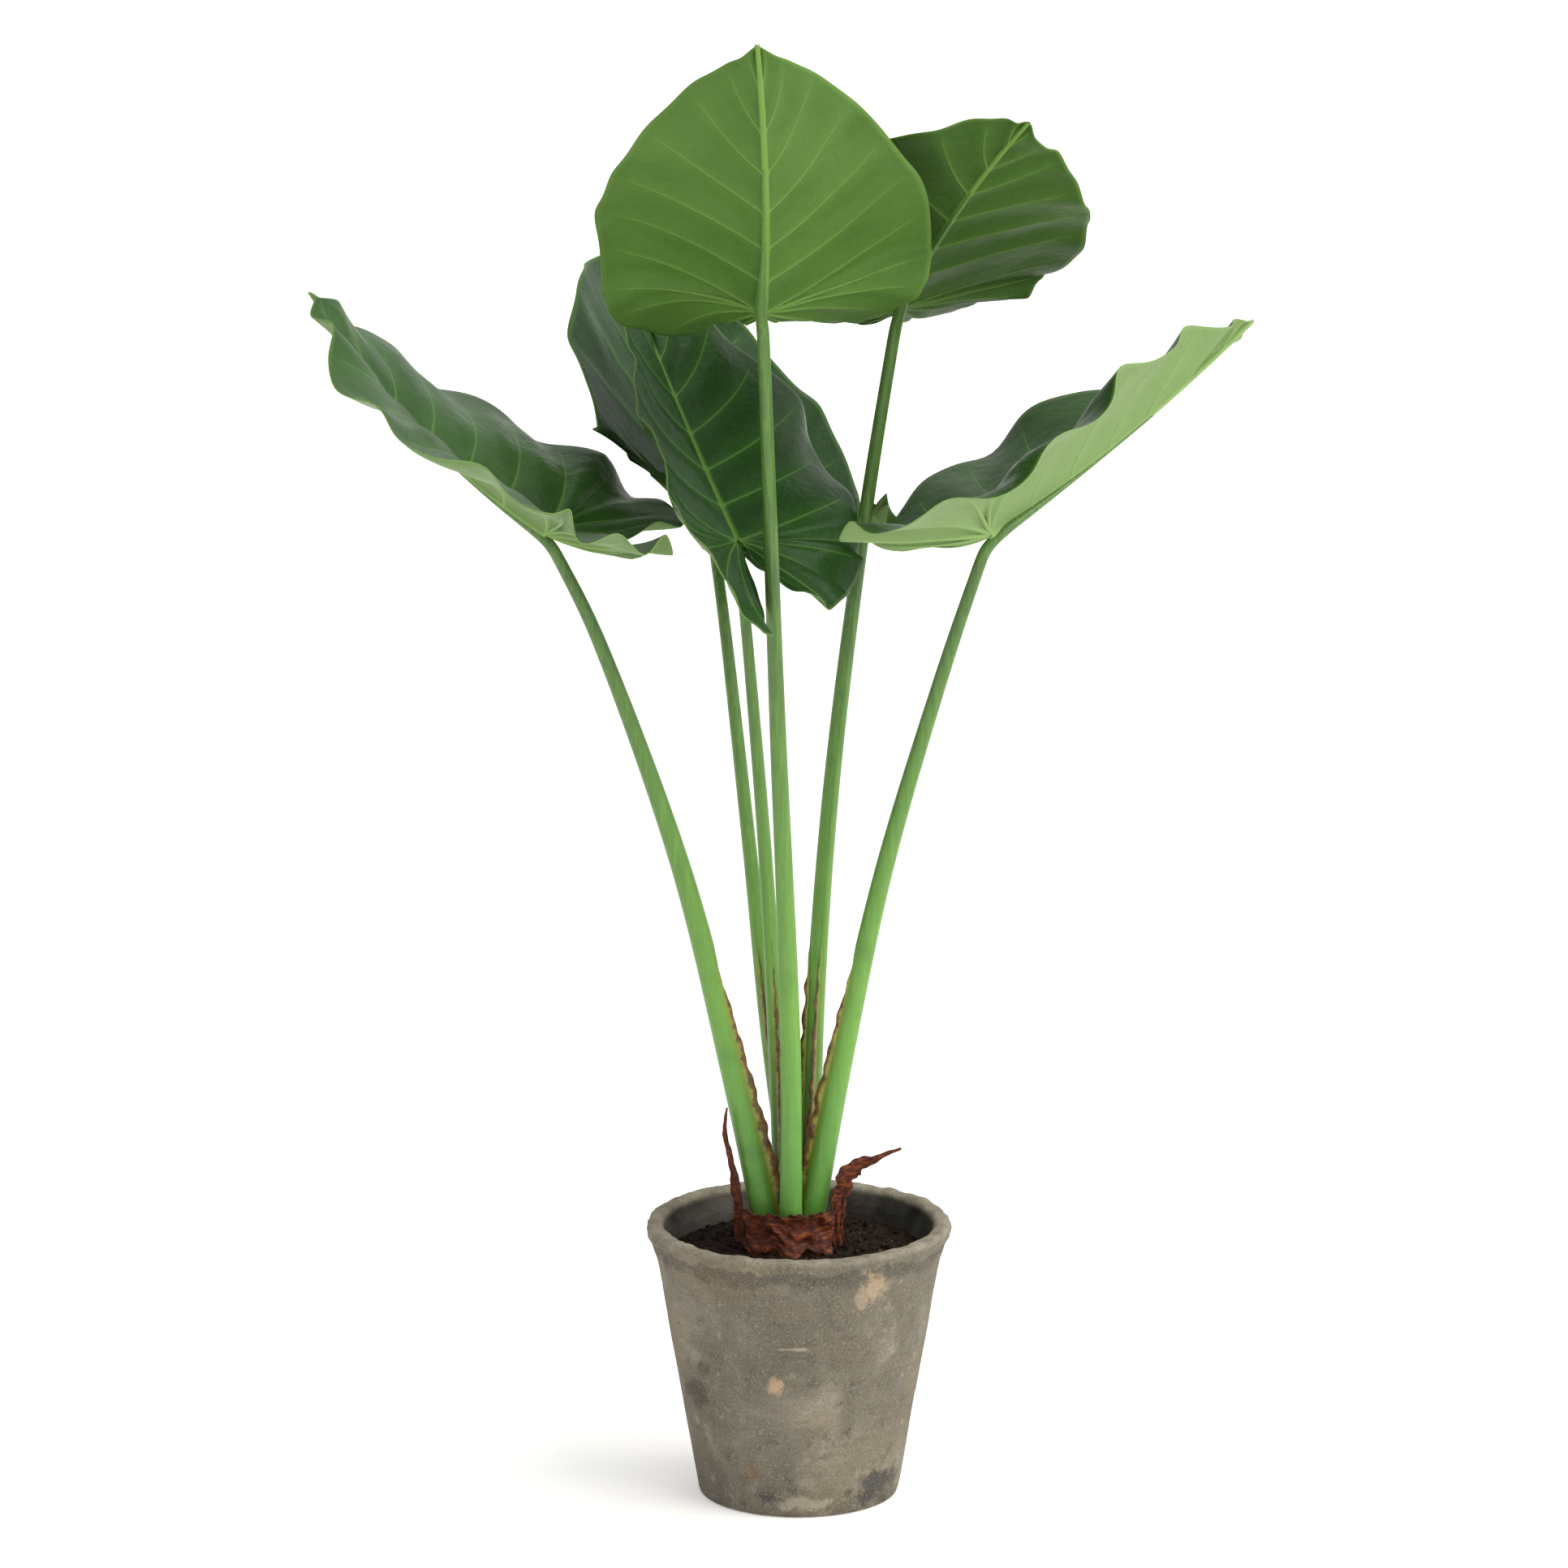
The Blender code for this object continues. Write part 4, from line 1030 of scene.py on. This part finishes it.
class BuildStalk(bpy.types.Operator):
    """Draws one stalk from the stem base into its blade's midrib, with its clasping wings"""

    bl_idname = "alocasia.stalk"
    bl_label = "Leaf stalk"

    letter: StringProperty(name="Leaf", description="Which stalk to build, a to f", default="a")

    def centre_line(self, leaf, stalk):
        """Places and radii from inside the stem base to well along the midrib."""
        foot = (*stalk["foot"], STALK_FOOT)
        rising = curve_through((foot, *stalk["route"], leaf["joint"]), 241)
        reach = np.concatenate(([0], np.cumsum(np.linalg.norm(np.diff(rising, axis=0), axis=1))))
        radii = stalk["top"] + (stalk["base"] - stalk["top"]) * (1 - reach / reach[-1]) ** 1.2
        part = np.linspace(0.04, 0.60, 40)
        field = blade_field(leaf, np.zeros(40), KNEE * (1 - part), 0.0)
        left = 1 - part / 0.60
        midrib_radii = 0.0010 + (stalk["top"] - 0.0010) * left**2.2
        midrib = field[0] - field[4] * (0.0016 + 0.55 * midrib_radii)[:, None]
        places = np.vstack((rising[:-6], midrib))
        radii = np.concatenate((radii[:-6], midrib_radii))
        reach = np.concatenate(([0], np.cumsum(np.linalg.norm(np.diff(places, axis=0), axis=1))))
        even = np.linspace(0, reach[-1], 300)
        places = np.stack([np.interp(even, reach, places[:, axis]) for axis in range(3)], -1)
        radii = np.interp(even, reach, radii)
        for _ in range(14):
            places[1:-1] = (places[:-2] + 2 * places[1:-1] + places[2:]) / 4
        return places, radii

    def execute(self, context):
        settings = context.scene.alocasia_stalk
        leaf, stalk = LEAVES[self.letter], STALKS[self.letter]
        places, radii = self.centre_line(leaf, stalk)
        section = stalk_section()
        rows = len(places) + 2
        deselect_all()
        columns = len(section) - 1
        bpy.ops.mesh.primitive_grid_add(x_subdivisions=columns, y_subdivisions=rows - 1, size=2)
        piece = started(f"stalk_{self.letter}")
        grid = vertex_places(piece)
        column = np.rint((grid[:, 0] + 1) / 2 * columns).astype(int)
        row = np.rint((grid[:, 1] + 1) / 2 * (rows - 1)).astype(int)
        station = np.clip(row - 1, 0, len(places) - 1)
        closed_end = (row == 0) | (row == rows - 1)
        angle, out, face, side = section[column].T
        along = np.gradient(places, axis=0)
        along /= np.linalg.norm(along, axis=1)[:, None]
        inward = np.array((-0.004, 0.002, 0.0)) - places * (1, 1, 0)
        inward[:, 2] = 0.25 * np.linalg.norm(inward, axis=1) + 0.002
        inward -= along * np.sum(inward * along, axis=1)[:, None]
        for _ in range(12):
            inward[1:-1] = (inward[:-2] + inward[1:-1] + inward[2:]) / 3
        inward /= np.linalg.norm(inward, axis=1)[:, None]
        beside = np.cross(along, inward)
        radius = np.where(closed_end, 0.0, radii[station])
        height = places[station, 2]
        rise = np.clip((height - STALK_FOOT) / (settings.wing_top - STALK_FOOT), 0, 1)
        wide = settings.wing * (1 - rise) ** 0.85
        number = ord(self.letter)
        wavy = np.sin(height * 190 + number + side) + 0.6 * np.sin(height * 431 + 2 * number - side)
        wide = wide * (1 + 0.14 * wavy)
        present = np.clip(wide / 0.003, 0, 1) * ~closed_end
        groove = np.where(face == 0, 1 - 0.30 * present, 1.0)
        from_inside = np.minimum(angle % tau, tau - angle % tau)
        shallow = 1 - 0.10 * np.exp(-((from_inside / 0.45) ** 2))
        bare = radius * np.where(out > 0, 1.0, groove * shallow)
        toward = bare * np.cos(angle) + wide * out * 0.88 * present
        aside = bare * np.sin(angle) + side * wide * out * (0.42 - 0.45 * out) * present
        aside -= side * (face == 0) * (0.0013 - 0.0009 * out) * present * (np.abs(side) > 0)
        aside += side * 0.0012 * out * present * np.sin(height * 260 + 3 * number)
        out_from = inward[station] * toward[:, None] + beside[station] * aside[:, None]
        set_places(piece, places[station] + out_from)
        write_attribute(piece, "rise", np.clip((height - STALK_FOOT) / 0.65, 0, 1))
        flank = np.clip(1 - (from_inside - WING_ANGLE) / 0.55, 0, 1) * (face == 1)
        write_attribute(piece, "wing", np.where(out > 0, 0.35 + 0.65 * out, 0.35 * flank) * present)
        bpy.ops.object.mode_set(mode="EDIT")
        bpy.ops.mesh.select_all(action="SELECT")
        bpy.ops.mesh.remove_doubles(threshold=0.00001)
        bpy.ops.mesh.normals_make_consistent(inside=False)
        bpy.ops.object.mode_set(mode="OBJECT")
        material = bpy.data.materials.get(STALK_SKIN) or stalk_material(settings)
        finished(piece, [material], f"petiole_{self.letter}")
        return {"FINISHED"}


def papery(name, columns, rows, shape):
    """A thin wrinkled piece: a grid that shape(u, v) bends, and gives its edge marks, then a wall."""
    deselect_all()
    bpy.ops.mesh.primitive_grid_add(x_subdivisions=columns, y_subdivisions=rows, size=2)
    piece = started(name)
    grid = vertex_places(piece)
    places, edge = shape(grid[:, 0], grid[:, 1])
    set_places(piece, places)
    write_attribute(piece, "edge", edge)
    solidify = piece.modifiers.new("Wall", "SOLIDIFY")
    solidify.thickness = SHEATH_WALL
    solidify.offset = 0.0
    return piece


class BuildSheaths(bpy.types.Operator):
    """Wraps the dried sheath round the stem base and stands its two curled strips beside the stalks"""

    bl_idname = "alocasia.sheaths"
    bl_label = "Dried sheaths"

    def wrap_shape(self, u, v):
        """The front sheath: ragged along its top, and scalloped and curled out along its foot."""
        wrinkle = bpy.context.scene.alocasia_sheath.wrinkle
        turn = radians(-90) + radians(WRAP_SPAN / 2) * u
        rise = (v + 1) / 2
        scallop = 0.5 + 0.5 * np.cos(tau * (1.25 * u + 0.45)) + 0.18 * np.sin(19 * u + 1)
        foot = SOIL_CROWN - 0.002 + 0.007 * scallop
        top = WRAP_TOP - 0.002 + 0.0012 * np.sin(13 * u) + 0.0009 * np.sin(31 * u + 1)
        top += 0.003 * np.abs(u) ** 6
        height = foot + (top - foot) * rise
        slant = u * 2.6 + rise * 1.1
        folds = np.sin(5.0 * rise + 4.0 * u + 1.6 * np.sin(slant * 2.3))
        folds += 0.8 * np.sin(9.0 * rise - 8.0 * u + 1.8 * np.sin(slant * 4.1 + 1))
        patchy = 0.5 + 0.5 * np.sin(5.0 * u + 2)
        folds += 0.45 * np.sin(24.0 * rise + 10.0 * u + 2.0 * np.sin(7.0 * u)) * patchy
        flare = 0.0045 * (1 - rise) ** 3 * (1 - scallop) + 0.0035 * rise**4 + 0.002 * np.abs(u) ** 5
        radius = WRAP_RADIUS + 0.0010 + 0.0030 * rise + flare + wrinkle * folds * 0.75
        x = CORM_CENTRE[0] + radius * np.cos(turn)
        y = CORM_CENTRE[1] + radius * np.sin(turn)
        edge = np.maximum(np.abs(u) ** 14, eased(0.90, 1.0, np.maximum(rise, 1 - rise)))
        return np.stack((x, y, height), -1), edge

    def strip_shape(self, strip):
        """A shape for one strip: it follows its route, cupped, wrinkled and wavy at its margins."""
        wrinkle = bpy.context.scene.alocasia_sheath.wrinkle
        facing = np.array(strip["facing"]) / np.linalg.norm(strip["facing"])

        def shape(u, v):
            rise = (v + 1) / 2
            line = curve_through(strip["route"], 101)
            slope = np.gradient(line, axis=0)
            spot, along = (
                np.stack([np.interp(rise * 100, np.arange(101), course[:, axis]) for axis in range(3)], -1)
                for course in (line, slope)
            )
            beside = np.cross(along, facing)
            beside /= np.linalg.norm(beside, axis=1)[:, None]
            widths = strip["half_widths"]
            half = np.interp(rise, np.linspace(0, 1, len(widths)), widths)
            ragged = 1 + 0.16 * np.sin(rise * 31 + 2 * u) + 0.10 * np.sin(rise * 71 + u)
            folds = np.sin(7 * u + rise * 9) + 0.6 * np.sin(15 * u - rise * 23)
            out = strip["cup"] * half * u**2 + wrinkle * 0.6 * folds * np.clip(half / 0.006, 0, 1)
            places = spot + beside * (half * ragged * u)[:, None] + facing * out[:, None]
            return places, np.maximum(np.abs(u) ** 5, rise**6)

        return shape

    def execute(self, context):
        material = sheath_material(context.scene.alocasia_sheath)
        piece = papery("dried_wrap", 150, 56, self.wrap_shape)
        finished(piece, [material], "sheath_front")
        for name, strip in CURLS.items():
            piece = papery(name.replace("sheath", "dried_strip"), 22, 130, self.strip_shape(strip))
            finished(piece, [material], name)
        return {"FINISHED"}


CAMERA_PLACE = (-0.012, -5.5, 1.818)
CAMERA_TILT = 77.494  # degrees from straight down
SENSOR_WIDTH = 36.0  # millimetres


class BuildStage(bpy.types.Operator):
    """Lays the pale floor and sets the soft lights and the camera"""

    bl_idname = "alocasia.stage"
    bl_label = "Stage"

    def execute(self, context):
        stage = context.scene.alocasia_stage
        deselect_all()
        bpy.ops.mesh.primitive_plane_add(size=stage.floor, location=(0, 0, 0))
        floor = started("floor")
        material, _, shader, _ = new_material("pale matt floor", 0.9, 0.1)
        shader.inputs["Base Color"].default_value = linear("#F6F5F3")
        shader.inputs["Emission Color"].default_value = linear("#FFFDF8")
        shader.inputs["Emission Strength"].default_value = 0.24
        floor.data.materials.append(material)
        floor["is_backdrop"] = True
        floor.select_set(False)
        self.light_world(context, stage)
        bpy.ops.object.light_add(type="SUN", rotation=(radians(14), radians(46), 0))
        key = context.object
        key.data.energy = stage.key
        key.data.angle = radians(60)
        key.data.color = (1.0, 0.985, 0.95)
        bpy.ops.object.camera_add(location=CAMERA_PLACE, rotation=(radians(CAMERA_TILT), 0, 0))
        camera = context.object
        camera.data.lens = stage.lens
        camera.data.sensor_width = SENSOR_WIDTH
        camera.data.dof.use_dof = False
        context.scene.camera = camera
        context.scene.view_settings.view_transform = "Standard"
        return {"FINISHED"}

    def light_world(self, context, stage):
        """Even white light that is stronger from the right and a little from the front."""
        world = bpy.data.worlds.new("studio")
        context.scene.world = world
        world.use_nodes = True
        tree = world.node_tree
        way = node(tree, "TexCoord", out="Generated")
        lean = node(tree, "VectorMath", (way, (0.85, -0.25, 0.45)), "Value", operation="DOT_PRODUCT")
        strength = node(tree, "MapRange", (lean, -1.0, 1.0, 0.45 * stage.sky, 1.55 * stage.sky))
        background = tree.nodes["Background"]
        background.inputs["Color"].default_value = (1.0, 1.0, 1.0, 1.0)
        tree.links.new(strength, background.inputs["Strength"])


class AlocasiaPanel(bpy.types.Panel):
    """The plant's sizes and colours, and a button for each of its pieces"""

    bl_idname = "VIEW3D_PT_alocasia"
    bl_label = "Potted alocasia"
    bl_space_type = "VIEW_3D"
    bl_region_type = "UI"
    bl_category = "Alocasia"

    def draw(self, context):
        for name, group, operator in SECTIONS:
            box = self.layout.box()
            for key in group.__annotations__ if group else ():
                box.prop(getattr(context.scene, name), key)
            box.operator(operator.bl_idname)


# Each section of the panel: its settings' name and class, and its operator
SECTIONS = (
    ("alocasia_pot", PotSettings, BuildPot),
    ("alocasia_soil", SoilSettings, BuildSoil),
    (None, None, BuildStemBase),
    ("alocasia_stalk", StalkSettings, BuildStalk),
    ("alocasia_leaf", LeafSettings, BuildBlade),
    ("alocasia_sheath", SheathSettings, BuildSheaths),
    ("alocasia_stage", StageSettings, BuildStage),
)


def register():
    for name, group, operator in SECTIONS:
        if group:
            bpy.utils.register_class(group)
            setattr(bpy.types.Scene, name, PointerProperty(type=group))
        bpy.utils.register_class(operator)
    bpy.utils.register_class(AlocasiaPanel)


def unregister():
    bpy.utils.unregister_class(AlocasiaPanel)
    for name, group, operator in SECTIONS:
        bpy.utils.unregister_class(operator)
        if group:
            delattr(bpy.types.Scene, name)
            bpy.utils.unregister_class(group)


def main():
    register()
    bpy.ops.alocasia.pot()
    bpy.ops.alocasia.soil()
    bpy.ops.alocasia.stem_base()
    for letter in LEAVES:
        bpy.ops.alocasia.blade(letter=letter)
        bpy.ops.alocasia.stalk(letter=letter)
    bpy.ops.alocasia.sheaths()
    bpy.ops.alocasia.stage()
    boxes = (("cad", CAD_BOUNDS), ("visual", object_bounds()))
    sizes = {name: [list(corner) for corner in box] for name, box in boxes}


if __name__ == "__main__":
    main()
